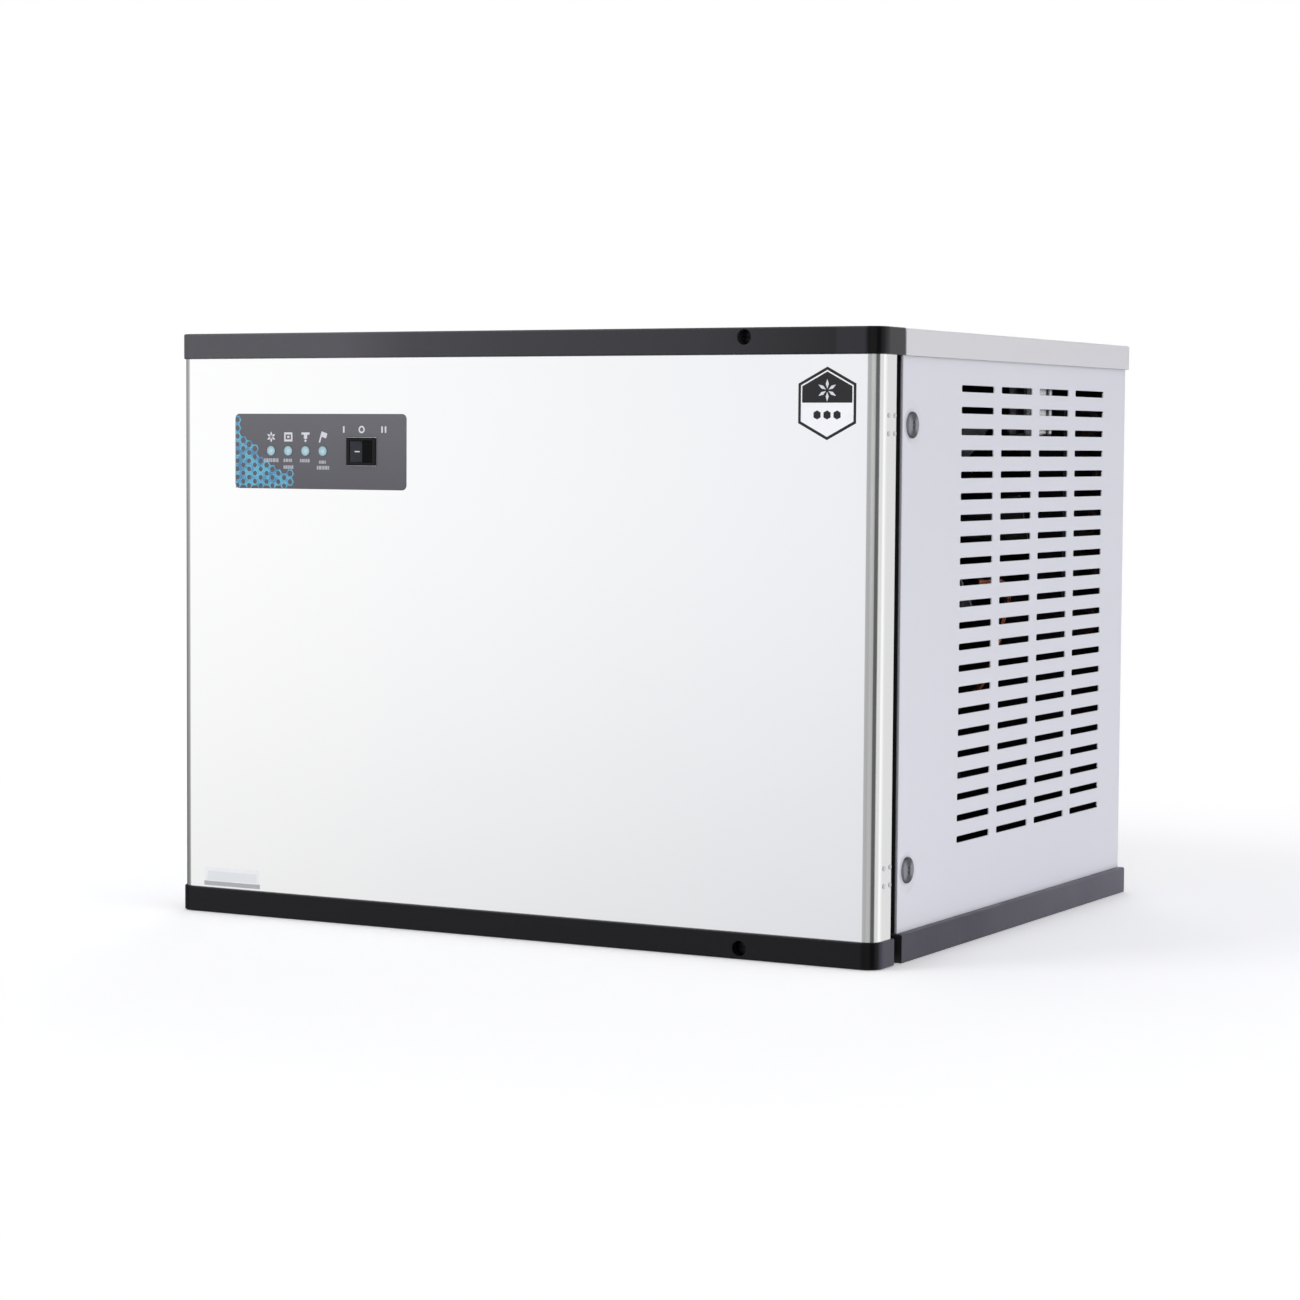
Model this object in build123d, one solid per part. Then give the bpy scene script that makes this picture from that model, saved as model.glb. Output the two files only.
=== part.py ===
"""Modular ice maker head: hinged steel front panel, ice chamber on the left, cooling machinery on the right.

Millimetres, +Z up, X to the right and Y to the back. The origin is the centre of the footprint on the floor.
"""

import os
from math import cos, radians

from build123d import *

# Driving dimensions, whole cabinet
width = 762.0
depth = 620.0
height = 570.0
sheet = 1.2
overrun = 2.0
running_gap = 0.05
seat_gap = 0.3

# Front panel: folded steel skin between two moulded trims
trim_height = 24.5
trim_proud = 2.0
trim_corner = 15.2
trim_edge = 1.5
top_trim_depth = 48.0
bottom_trim_depth = 38.3
skin_sheet = 1.0
skin_corner = 13.2
skin_return = 32.4
skin_hem = 12.0
backing_thickness = 28.0
backing_gap = 0.5
lock_screw_inset = 136.5
top_lock_screw_drop = 8.7
bottom_lock_screw_rise = 9.8
lock_hole_radius = 7.0
lock_hole_depth = 14.0
lock_head_radius = 6.0
lock_head_height = 4.0
lock_shank_radius = 2.5
lock_shank_gap = 0.5
lock_shank_end = 12.0
driver_slot_width = 1.2
driver_slot_depth = 1.0

# Control overlay, lenses, rocker switch and the housing behind them
overlay_left_inset = 68.0
overlay_width = 198.0
overlay_height = 72.5
overlay_top_drop = 78.0
overlay_sheet = 0.4
overlay_corner = 5.0
overlay_window_gap = 0.2
lens_count = 4
lens_pitch_share = 0.1015152
lens_first_share = 0.2146465
lens_drop = 35.8
lens_radius = 4.8
lens_proud = 0.5
lens_hole_gap = 0.1
switch_share = 0.7434343
switch_drop = 36.0
bezel_width = 33.0
bezel_height = 27.0
bezel_proud = 1.8
bezel_corner = 1.5
switch_body_width = 28.0
switch_body_height = 24.4
switch_body_depth = 27.0
switch_hole_gap = 0.2
rocker_width = 25.0
rocker_height = 20.6
rocker_side_gap = 0.6
rocker_top_gap = 0.3
rocker_well_depth = 14.0
rocker_axis_depth = 4.0
rocker_end_proud = 3.6
rocker_valley_proud = 1.4
rocker_heel = 8.0
rocker_heel_half_width = 8.0
rocker_pin_radius = 1.5
rocker_pin_length = 1.2
rocker_pin_hole_depth = 1.4
spade_width = 6.3
spade_thickness = 0.8
spade_length = 8.0
spade_pitch = 9.0
spade_row_pitch = 12.0
housing_inset = 2.0
housing_wall = 2.0
housing_depth = 45.0
board_thickness = 1.6
led_board_gap = 7.0
led_board_inset_share = 0.0606061
led_board_width_share = 0.5656566
led_board_height = 36.0
standoff_radius = 3.0
standoff_inset = 6.0

# Hinges and the large-headed cabinet fasteners beside them
hinge_low_height = 81.6
hinge_high_drop = 86.3
hinge_leaf_sheet = 1.2
hinge_leaf_height = 30.0
hinge_knuckle_radius = 4.2
hinge_pin_radius = 2.0
hinge_axis_from_side = 5.0
hinge_axis_from_front = 46.0
hinge_door_leaf_reach = 33.0
hinge_cabinet_leaf_reach = 49.0
hinge_leaf_setback = 9.0
rivet_radius = 1.6
rivet_head_radius = 2.4
rivet_head_height = 0.5
rivet_spacing_y = 12.8
rivet_spacing_z = 16.0
rivet_from_return_edge = 2.7
fastener_from_panel_edge = 19.9
fastener_head_radius = 12.0
fastener_head_height = 2.4
fastener_head_edge = 1.4
fastener_shank_radius = 2.9
fastener_hole_radius = 3.0
fastener_length = 9.0
fastener_socket_radius = 3.4
fastener_socket_depth = 1.2

# Base, panels and cover
base_height = 26.0
base_front_setback = 54.7
base_edge = 2.0
drop_opening_left_inset = 39.0
drop_opening_right_gap = 7.0
drop_opening_front_gap = 50.3
drop_opening_back_gap = 8.0
foot_hole_radius = 4.2
foot_hole_depth = 16.0
foot_hole_inset_x = 26.0
foot_hole_inset_y = 80.0
panel_inset = 6.2
panel_front_setback = 57.5
panel_back_setback = 3.2
panel_hem = 20.0
slot_rows = 22
slot_columns = 4
slot_length_share = 0.8110088
slot_height_share = 0.3143713
slot_corner_share = 0.2857143
slot_row_pitch_share = 0.0351579
slot_column_pitch_share = 0.1541290
slot_first_row_share = 0.0903509
slot_first_column_share = 0.3693548
cover_inset = 2.7
cover_front_setback = 56.6
cover_back_setback = 1.7
cover_lip = 24.4
cover_bend = 2.0
back_recess = 25.0
back_flange = 18.0
back_slot_rows = 11
back_slot_columns = 3
back_slot_row_pitch_share = 0.0788976
back_slot_column_pitch_share = 0.3364789
rear_screw_radius = 4.0
rear_screw_head = 1.5
rear_screw_shank_radius = 1.8
rear_screw_length = 6.0
rear_screw_drop = 13.0
rear_screw_rows = 3

# Front posts and rails
post_sheet = 1.5
post_width = 29.6
post_front_setback = 60.0
rail_end_inset = 11.0
bottom_rail_end_inset = 16.0
bottom_rail_rise = 2.0

# Ice chamber
partition_share = 0.03149606
partition_flange = 15.0
insulation_thickness = 20.0
liner_wall = 3.0
chamber_front_setback = 82.0
chamber_cover_thickness = 18.0
chamber_cover_edge = 4.0

# Evaporator
cell_columns = 11
cell_rows = 13
cell_wall = 1.5
cell_depth = 22.0
evaporator_pan = 2.0
evaporator_left_gap = 12.0
evaporator_right_gap = 83.3
evaporator_back_gap = 200.8
evaporator_rise = 124.0
evaporator_top_gap = 92.9
coil_radius = 4.76
coil_wall = 0.8
coil_passes = 6
coil_pitch_cells = 2
coil_first_row_share = 1.5
braze_gap = 0.1
coil_end_gap = 1.94
coil_lead_reach = 8.0
cheek_thickness = 10.0
cheek_front_gap = 4.0
cheek_drop = 10.0
cheek_rise = 36.0
cheek_ear_reach = 40.0
cheek_ear_height = 36.0
tie_bar_width = 30.0
tie_bar_height = 10.0
tie_bar_setback = 90.0
shelf_thickness = 6.0
shelf_rise = 158.0
shelf_front_reach = 45.0
shelf_length = 108.0
shelf_end_gap = 5.0

# Water parts
spray_tube_radius = 11.0
spray_tube_wall = 2.0
spray_tube_rise = 17.0
spray_tube_overhang = 10.0
spray_hole_radius = 1.4
hose_radius = 8.0
hose_wall = 2.5
hose_bend = 20.0
curtain_sheet = 3.0
curtain_side_gap = 1.0
curtain_drop = 12.0
curtain_hub_radius = 5.0
curtain_axis_setback = 28.5
curtain_axis_rise = 17.0
curtain_pin_radius = 3.0
curtain_pin_length = 8.0
curtain_magnet_size = 12.0
curtain_magnet_thickness = 4.0
probe_pin_radius = 2.0
probe_pin_reach = 18.0
probe_axis_gap = 11.0
probe_axis_rise = 13.0
probe_hub_radius = 5.0
probe_hub_gap = 1.5
probe_arm_sheet = 2.0
probe_arm_width = 11.0
probe_arm_length = 62.0
probe_tip_radius = 1.5
probe_tip_length = 9.0
trough_front_reach = 20.0
trough_back_gap = 44.8
trough_left_gap = 4.6
trough_right_gap = 5.0
trough_wall = 3.0
trough_height = 90.0
trough_foot = 18.0
trough_foot_size = 30.0
pump_back_gap = 110.8
pump_right_gap = 36.0
pump_motor_radius = 27.0
pump_motor_height = 72.0
pump_motor_edge = 4.0
pump_column_radius = 12.0
pump_column_bore = 4.5
pump_flange_radius = 20.0
pump_flange_height = 4.0
volute_radius = 24.0
volute_wall = 3.0
volute_height = 24.0
volute_rise = 28.0
volute_inlet_radius = 10.0
volute_nozzle_length = 14.0
impeller_radius = 16.0
impeller_height = 12.0
pump_shaft_radius = 3.0
pump_shaft_seat = 20.0
float_setback = 50.0
float_stem_radius = 4.0
float_stem_drop = 128.0
float_radius = 13.0
float_bore_gap = 0.3
float_height = 20.0
float_clip_radius = 7.0
float_clip_height = 3.0
float_clip_rise = 8.0
float_travel = 24.0

# Drain and water supply
drain_pipe_radius = 9.0
drain_pipe_wall = 2.0
drain_neck_radius = 10.2
drain_outlet_radius = 11.0
drain_height = 58.0
drain_back_gap = 88.8
drain_valve_gap = 10.0
drain_valve_size = 40.0
valve_coil_radius = 14.0
valve_coil_height = 40.0
drain_outlet_proud = 22.0
inlet_valve_side_gap = 79.8
inlet_valve_height = 160.0
inlet_valve_size = 34.0
inlet_valve_length = 32.0
inlet_neck_radius = 7.6
inlet_thread_radius = 8.33
inlet_thread_bore = 5.0
inlet_thread_proud = 20.0
fill_tube_radius = 5.0
fill_tube_wall = 1.2
fill_tube_bend = 14.0
fill_tube_side_gap = 26.8
fill_tube_back_gap = 78.8
fill_tube_reach = 15.0
wall_hole_gap = 0.4

# Compressor
compressor_x_share = 0.5447761
compressor_radius_share = 0.2238806
compressor_back_gap = 223.8
compressor_height = 194.0
compressor_dome = 34.0
compressor_plate_x_share = 2.5128205
compressor_plate_y_share = 2.1025641
compressor_plate = 4.0
compressor_seam = 3.0
compressor_seam_height = 8.0
grommet_radius = 13.0
grommet_height = 12.0
grommet_inset = 16.0
terminal_box_width = 44.0
terminal_box_height = 60.0
terminal_box_depth = 22.0
stub_radius = 6.35
stub_length = 14.0
discharge_stub_x_share = 0.7051282
discharge_stub_y_share = -0.5128205
suction_stub_height = 150.0

# Condenser, shroud and fan
fin_pack_side_gap = 36.8
fin_pack_depth = 36.0
fin_pack_back_gap = 9.8
fin_pack_rise = 26.0
fin_pack_top_gap = 52.8
condenser_passes = 10
condenser_bend_gap = 4.14
end_plate = 2.0
tube_overhang = 4.0
shroud_depth = 32.0
shroud_hole_share = 0.4645669
spider_arm_width = 14.0
spider_thickness = 4.0
spider_ring_outer = 44.0
spider_ring_inner = 24.0
spider_leg_share = 1.0847458
spider_setback = 38.0
spider_arms = 3
spider_turn = -45.0
full_turn = 360.0
fan_radius_share = 0.9491525
fan_hub_radius = 22.0
fan_hub_length = 22.0
fan_hub_gap = 2.0
fan_blades = 5
fan_blade_sheet = 2.0
fan_blade_pitch_degrees = 28.0
fan_blade_root_width = 30.0
fan_blade_tip_width = 62.0
fan_tip_sweep = 16.0
fan_motor_radius = 42.0
fan_motor_length = 58.0
fan_motor_boss = 20.0
fan_motor_edge = 6.0
fan_shaft_radius = 4.0
fan_shaft_seat = 24.0

# Refrigerant lines and valves
line_bend = 12.0
line_corridor_gap = 16.8
discharge_level = 330.0
drier_side_gap = 49.8
drier_front_reach = 100.0
drier_radius = 20.0
drier_bottom = 130.0
drier_length = 110.0
drier_neck = 12.0
drier_riser = 23.0
drier_sump = 20.0
expansion_valve_side_gap = 42.8
expansion_valve_size = 22.0
expansion_head_radius = 17.0
expansion_head_height = 6.0
expansion_stub = 12.0
suction_riser_share = 0.2146958
gas_valve_size = 24.0
gas_valve_coil_radius = 13.0
gas_valve_coil_height = 34.0
gas_valve_stub = 12.0

# Control box and power inlet
box_side_gap = 63.4
box_bottom_share = 0.5964912
box_top_drop = 30.0
box_front_setback = 70.0
box_depth = 90.0
board_side_margin = 32.5
board_end_margin = 30.0
board_standoff = 16.0
relay_size = 22.0
relay_height = 18.0
relay_count = 4
relay_pitch = 34.0
transformer_size = 46.0
capacitor_radius = 18.0
capacitor_length = 60.0
gland_side_gap = 43.6
gland_height = 120.0
gland_radius = 13.0
gland_neck_radius = 9.0
gland_bore = 5.5
gland_proud = 18.0
gland_nut_height = 4.0

# Places worked out from the driving dimensions
half_width = width / 2
half_depth = depth / 2
front = -half_depth
skin_front = front + trim_proud
skin_half = half_width - trim_proud
skin_back = skin_front + skin_return
skin_bottom = trim_height
skin_top = height - trim_height
top_trim_back = front + top_trim_depth
bottom_trim_back = front + bottom_trim_depth
lock_screw_x = half_width - lock_screw_inset
lock_screw_heights = [height - top_lock_screw_drop, bottom_lock_screw_rise]
overlay_left = -half_width + overlay_left_inset
overlay_top = height - overlay_top_drop
overlay_front = skin_front - overlay_sheet
lens_level = overlay_top - lens_drop
lens_first = overlay_left + lens_first_share * overlay_width
lens_pitch = lens_pitch_share * overlay_width
lens_places = [lens_first + i * lens_pitch for i in range(lens_count)]
switch_x = overlay_left + switch_share * overlay_width
switch_z = overlay_top - switch_drop
bezel_front = skin_front - bezel_proud
rocker_axis_y = bezel_front + rocker_axis_depth
housing_front = skin_front + skin_sheet
housing_back = housing_front + housing_depth
housing_span_x = (overlay_left + housing_inset, overlay_left + overlay_width - housing_inset)
housing_span_z = (overlay_top - overlay_height + housing_inset, overlay_top - housing_inset)
led_board_front = housing_front + led_board_gap
hinge_levels = [hinge_low_height, height - hinge_high_drop]
hinge_x = -half_width + hinge_axis_from_side
hinge_y = front + hinge_axis_from_front
base_front = front + base_front_setback
panel_outer = half_width - panel_inset
panel_inner = panel_outer - sheet
panel_front = front + panel_front_setback
panel_back = half_depth - panel_back_setback
fastener_y = panel_front + fastener_from_panel_edge
cover_half = half_width - cover_inset
cover_under = height - sheet
cover_front = front + cover_front_setback
cover_back = half_depth - cover_back_setback
post_front = front + post_front_setback
chamber_front = front + chamber_front_setback
back_outer = half_depth - back_recess
back_inner = back_outer - sheet
partition_left = partition_share * width
partition_right = partition_left + sheet
liner_left = -panel_inner + insulation_thickness
liner_right = partition_left - insulation_thickness
liner_back = back_inner - insulation_thickness
liner_top = cover_under - insulation_thickness
room_left = liner_left + liner_wall
room_right = liner_right - liner_wall
room_back = liner_back - liner_wall
room_top = liner_top - liner_wall
evaporator_left = room_left + evaporator_left_gap
evaporator_right = room_right - evaporator_right_gap
evaporator_bottom = base_height + evaporator_rise
evaporator_top = room_top - evaporator_top_gap
evaporator_front = room_back - evaporator_back_gap
cell_width = (evaporator_right - evaporator_left) / cell_columns
cell_height = (evaporator_top - evaporator_bottom) / cell_rows
pan_front = evaporator_front + cell_depth
pan_back = pan_front + evaporator_pan
coil_y = pan_back + braze_gap + coil_radius
coil_pitch = coil_pitch_cells * cell_height
coil_end_margin = coil_pitch / 2 + coil_radius + coil_end_gap
coil_bottom = evaporator_bottom + coil_first_row_share * cell_height
coil_top = coil_bottom + (coil_passes - 1) * coil_pitch
coil_lead_end = partition_right + coil_lead_reach
cheek_left = evaporator_left - cheek_thickness
cheek_right = evaporator_right + cheek_thickness
cheek_bottom = evaporator_bottom - cheek_drop
cheek_top = evaporator_top + cheek_rise
cheek_front = evaporator_front - cheek_front_gap
spray_y = evaporator_front + cell_depth / 2
spray_z = evaporator_top + spray_tube_rise
curtain_y = evaporator_front - curtain_axis_setback
curtain_z = evaporator_top + curtain_axis_rise
probe_y = evaporator_front - probe_axis_gap
probe_z = evaporator_top + probe_axis_rise
trough_left = room_left + trough_left_gap
trough_right = room_right - trough_right_gap
trough_front = evaporator_front - trough_front_reach
trough_back = room_back - trough_back_gap
trough_bottom = base_height + trough_foot
trough_top = trough_bottom + trough_height
pump_x = room_right - pump_right_gap
pump_y = room_back - pump_back_gap
shelf_bottom = base_height + shelf_rise
shelf_top = shelf_bottom + shelf_thickness
shelf_front = pump_y - shelf_front_reach
volute_bottom = base_height + volute_rise
volute_top = volute_bottom + volute_height
float_y = pump_y + float_setback
float_stem_bottom = shelf_bottom - float_stem_drop
float_rest = float_stem_bottom + float_clip_rise + float_clip_height
drain_y = back_inner - drain_back_gap
drain_valve_left = partition_right + drain_valve_gap
drain_outlet_x = drain_valve_left + drain_valve_size / 2
inlet_valve_x = partition_right + inlet_valve_side_gap
fill_tube_x = partition_right + fill_tube_side_gap
fill_tube_y = back_inner - fill_tube_back_gap
bay_width = panel_inner - partition_right
compressor_x = partition_right + compressor_x_share * bay_width
compressor_y = back_inner - compressor_back_gap
compressor_radius = compressor_radius_share * bay_width
compressor_plate_x = compressor_plate_x_share * compressor_radius
compressor_plate_y = compressor_plate_y_share * compressor_radius
compressor_bottom = base_height + grommet_height + compressor_plate
compressor_top = compressor_bottom + compressor_height
fin_pack_bottom = compressor_top + fin_pack_rise
fin_pack_top = cover_under - fin_pack_top_gap
condenser_pitch = (fin_pack_top - fin_pack_bottom) / condenser_passes
condenser_bend_reach = end_plate + tube_overhang + condenser_pitch / 2 + coil_radius
fin_pack_left = partition_right + fin_pack_side_gap
fin_pack_right = panel_inner - condenser_bend_gap - condenser_bend_reach
fin_pack_back = back_inner - fin_pack_back_gap
fin_pack_front = fin_pack_back - fin_pack_depth
condenser_y = (fin_pack_front + fin_pack_back) / 2
condenser_first = fin_pack_bottom + condenser_pitch / 2
condenser_last = condenser_first + (condenser_passes - 1) * condenser_pitch
shroud_front = fin_pack_front - shroud_depth
shroud_hole_radius = shroud_hole_share * min(fin_pack_right - fin_pack_left, fin_pack_top - fin_pack_bottom)
spider_leg_radius = spider_leg_share * shroud_hole_radius
fan_radius = fan_radius_share * shroud_hole_radius
fan_x = (fin_pack_left + fin_pack_right) / 2
fan_z = (fin_pack_bottom + fin_pack_top) / 2
spider_front = shroud_front - spider_setback
spider_back = spider_front + spider_thickness
fan_hub_back = shroud_front - fan_hub_gap
fan_hub_front = fan_hub_back - fan_hub_length
line_corridor = partition_right + line_corridor_gap
drier_x = partition_right + drier_side_gap
drier_y = compressor_y - drier_front_reach
drier_top = drier_bottom + drier_length
expansion_valve_x = partition_right + expansion_valve_side_gap
suction_riser_x = partition_right + suction_riser_share * bay_width
box_front = front + box_front_setback
box_back = box_front + box_depth
box_bottom = box_bottom_share * height
box_top = height - box_top_drop
box_right = panel_inner - box_side_gap
gland_x = panel_inner - gland_side_gap


def block(x, y, z):
    """A box between pairs of coordinates."""
    size = [b - a for a, b in (x, y, z)]
    middle = [(a + b) / 2 for a, b in (x, y, z)]
    return Pos(*middle) * Box(*size)


def around(middle, size):
    """The pair of coordinates half a size either side of a middle."""
    return middle - size / 2, middle + size / 2


def rod_x(radius, x, y, z):
    """A round bar along X between a pair of x coordinates."""
    return Pos((x[0] + x[1]) / 2, y, z) * Rot(0, 90, 0) * Cylinder(radius, x[1] - x[0])


def rod_y(radius, x, y, z):
    """A round bar along Y between a pair of y coordinates."""
    return Pos(x, (y[0] + y[1]) / 2, z) * Rot(90, 0, 0) * Cylinder(radius, y[1] - y[0])


def rod_z(radius, x, y, z):
    """A round bar along Z between a pair of z coordinates."""
    return Pos(x, y, (z[0] + z[1]) / 2) * Cylinder(radius, z[1] - z[0])


def pipe(points, bend, radius, wall):
    """A pipe swept along straight runs joined by tangent bends."""
    path = FilletPolyline(*points, radius=bend)
    section = Plane(path @ 0, z_dir=path % 0) * (Circle(radius) - Circle(radius - wall))
    return sweep(section, path=path)


def serpentine(x, y, first_level, pitch, passes, lead):
    """Centre line of straight passes joined by half-circle bends; both ends run on to the lead coordinate."""
    near, far = x
    edges = []
    for i in range(passes):
        level = first_level + i * pitch
        start, end = (near, far) if i % 2 == 0 else (far, near)
        if i == 0:
            start = lead
        if i == passes - 1:
            end = lead
        edges.append(Line((start, y, level), (end, y, level)))
        if i < passes - 1:
            swing = pitch / 2 if end > start else -pitch / 2
            crown = (end + swing, y, level + pitch / 2)
            edges.append(ThreePointArc((end, y, level), crown, (end, y, level + pitch)))
    return Wire(edges)


def swept_tube(path, radius, wall):
    """A tube of constant section along a ready centre line."""
    section = Plane(path @ 0, z_dir=path % 0) * (Circle(radius) - Circle(radius - wall))
    return sweep(section, path=path)


def rounded_front(x, y, z, corner):
    """A block whose two upright front corners are rounded."""
    body = block(x, y, z)
    return fillet(body.edges().filter_by(Axis.Z).group_by(Axis.Y)[0], corner)


def mirrored(solid):
    """A solid and its mirror image across the middle of the cabinet."""
    return [solid, mirror(solid, Plane.YZ)]


# Front panel skin: one steel sheet folded into a shallow tray, hemmed at both side returns
def front_panel_skin():
    outer = rounded_front(
        (-skin_half, skin_half),
        (skin_front, skin_back),
        (skin_bottom, skin_top),
        skin_corner,
    )
    inner_half = skin_half - skin_sheet
    hollow = rounded_front(
        (-inner_half, inner_half),
        (skin_front + skin_sheet, skin_back + overrun),
        (skin_bottom + skin_sheet, skin_top - skin_sheet),
        skin_corner - skin_sheet,
    )
    tray = outer - hollow
    hem = block(
        (inner_half - skin_hem, inner_half),
        (skin_back - skin_sheet, skin_back),
        (skin_bottom + skin_sheet, skin_top - skin_sheet),
    )
    for side in mirrored(hem):
        tray += side
    wall = (skin_front - overrun, skin_front + skin_sheet + overrun)
    tray -= block(
        around(switch_x, switch_body_width + 2 * switch_hole_gap),
        wall,
        around(switch_z, switch_body_height + 2 * switch_hole_gap),
    )
    for x in lens_places:
        tray -= rod_y(lens_radius + lens_hole_gap, x, wall, lens_level)
    for place in rivet_places():
        tray -= rod_x(rivet_radius, (-half_width, half_width), *place)
    return tray


def rivet_places():
    """The two-by-two rivet pattern beside each hinge level, the same on both returns."""
    back = skin_back - rivet_from_return_edge
    return [
        (y, level + side * rivet_spacing_z / 2)
        for level in hinge_levels
        for y in (back - rivet_spacing_y, back)
        for side in (-1, 1)
    ]


# Trims: moulded bars along the top and bottom of the front panel
def trim(z, back, screw_level):
    bar = rounded_front((-half_width, half_width), (front, back), z, trim_corner)
    bar = fillet(bar.edges().filter_by(Axis.Z, reverse=True).group_by(Axis.Y)[0], trim_edge)
    bar -= rod_y(lock_hole_radius, lock_screw_x, (front - overrun, front + lock_hole_depth), screw_level)
    through = (front, back + overrun)
    return bar - rod_y(lock_shank_radius + lock_shank_gap, lock_screw_x, through, screw_level)


def front_panel_top_trim():
    return trim((skin_top, height), top_trim_back, lock_screw_heights[0])


def front_panel_bottom_trim():
    return trim((0, trim_height), bottom_trim_back, lock_screw_heights[1])


def front_panel_screws():
    """Captive screws whose heads sit at the floor of the round holes in the trims."""
    seat = front + lock_hole_depth
    screws = []
    for level, back in zip(lock_screw_heights, (top_trim_back, bottom_trim_back)):
        screw = rod_y(lock_head_radius, lock_screw_x, (seat - lock_head_height, seat), level)
        screw -= block(
            around(lock_screw_x, 2 * lock_head_radius),
            (seat - lock_head_height - overrun, seat - lock_head_height + driver_slot_depth),
            around(level, driver_slot_width),
        )
        screws.append(screw + rod_y(lock_shank_radius, lock_screw_x, (seat, back + lock_shank_end), level))
    return screws


def front_panel_backing():
    """A foam board inside the tray, cut out round the control housing."""
    half = skin_half - skin_corner - skin_sheet
    board_front = skin_front + skin_sheet
    board = block(
        (-half, half),
        (board_front, board_front + backing_thickness),
        (skin_bottom + skin_sheet + backing_gap, skin_top - skin_sheet - backing_gap),
    )
    return board - block(
        (housing_span_x[0] - backing_gap, housing_span_x[1] + backing_gap),
        (board_front - overrun, board_front + backing_thickness + overrun),
        (housing_span_z[0] - backing_gap, housing_span_z[1] + backing_gap),
    )


# Controls: printed overlay, four lenses, rocker switch, lamp board and housing
def control_overlay():
    outline = RectangleRounded(overlay_width, overlay_height, overlay_corner)
    middle_x = overlay_left + overlay_width / 2
    middle_z = overlay_top - overlay_height / 2
    window = Rectangle(bezel_width + 2 * overlay_window_gap, bezel_height + 2 * overlay_window_gap)
    outline -= Pos(switch_x - middle_x, switch_z - middle_z) * window
    for x in lens_places:
        outline -= Pos(x - middle_x, lens_level - middle_z) * Circle(lens_radius + lens_hole_gap)
    face = Plane(origin=(middle_x, skin_front, middle_z), x_dir=(1, 0, 0), z_dir=(0, -1, 0)) * outline
    return extrude(face, overlay_sheet)


def led_lenses():
    front_face = overlay_front - lens_proud
    return [rod_y(lens_radius, x, (front_face, led_board_front), lens_level) for x in lens_places]


def rocker_switch_body():
    bezel = block(around(switch_x, bezel_width), (bezel_front, skin_front), around(switch_z, bezel_height))
    bezel = fillet(bezel.edges().filter_by(Axis.Y), bezel_corner)
    body_back = skin_front + switch_body_depth
    body = bezel + block(
        around(switch_x, switch_body_width),
        (skin_front, body_back),
        around(switch_z, switch_body_height),
    )
    body -= block(
        around(switch_x, rocker_width + 2 * rocker_side_gap),
        (bezel_front - overrun, bezel_front + rocker_well_depth),
        around(switch_z, rocker_height + 2 * rocker_top_gap),
    )
    pin_hole = rocker_height / 2 + rocker_top_gap + rocker_pin_hole_depth
    hole_span = (switch_z - pin_hole, switch_z + pin_hole)
    body -= rod_z(rocker_pin_radius + running_gap, switch_x, rocker_axis_y, hole_span)
    for column in (-1, 0, 1):
        for row in (-1, 1):
            body += block(
                around(switch_x + column * spade_pitch, spade_thickness),
                (body_back, body_back + spade_length),
                around(switch_z + row * spade_row_pitch / 2, spade_width),
            )
    return body


def switch_rocker():
    """A shallow V across the front, narrowing behind its two side pins."""
    half = rocker_width / 2
    outline = [
        (-half, -rocker_end_proud),
        (0, -rocker_valley_proud),
        (half, -rocker_end_proud),
        (half, 0),
        (rocker_heel_half_width, rocker_heel),
        (-rocker_heel_half_width, rocker_heel),
        (-half, 0),
    ]
    profile = make_face(Polyline(*outline, close=True))
    rocker = Pos(switch_x, rocker_axis_y, switch_z - rocker_height / 2) * extrude(profile, rocker_height)
    pin = rocker_height / 2 + rocker_pin_length
    return rocker + rod_z(rocker_pin_radius, switch_x, rocker_axis_y, (switch_z - pin, switch_z + pin))


def led_board_spans():
    left = overlay_left + led_board_inset_share * overlay_width
    right = left + led_board_width_share * overlay_width
    return (left, right), around(lens_level, led_board_height)


def led_board():
    x, z = led_board_spans()
    return block(x, (led_board_front, led_board_front + board_thickness), z)


def control_housing():
    inner_x = (housing_span_x[0] + housing_wall, housing_span_x[1] - housing_wall)
    inner_z = (housing_span_z[0] + housing_wall, housing_span_z[1] - housing_wall)
    shell = block(housing_span_x, (housing_front, housing_back), housing_span_z)
    shell -= block(inner_x, (housing_front - overrun, housing_back - housing_wall), inner_z)
    board_x, board_z = led_board_spans()
    reach = (led_board_front + board_thickness, housing_back - housing_wall)
    for x in (board_x[0] + standoff_inset, board_x[1] - standoff_inset):
        for z in (board_z[0] + standoff_inset, board_z[1] - standoff_inset):
            shell += rod_y(standoff_radius, x, reach, z)
    return shell


# Lift-off hinges: a door leaf drops over the pin of the cabinet leaf
def door_hinge_leaves():
    leaf_x = (-skin_half - hinge_leaf_sheet, -skin_half)
    leaves = []
    for level in hinge_levels:
        z = around(level, hinge_leaf_height)
        upper = (level + seat_gap, z[1])
        leaf = block(leaf_x, (hinge_y - hinge_door_leaf_reach, skin_back), z)
        leaf += block(leaf_x, (skin_back, hinge_y), upper)
        leaf += rod_z(hinge_knuckle_radius, hinge_x, hinge_y, upper)
        leaf -= rod_z(hinge_pin_radius + running_gap, hinge_x, hinge_y, z)
        for y, rivet_z in rivet_places():
            leaf -= rod_x(rivet_radius, (leaf_x[0] - overrun, leaf_x[1] + overrun), y, rivet_z)
        leaves.append(leaf)
    return leaves


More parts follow.
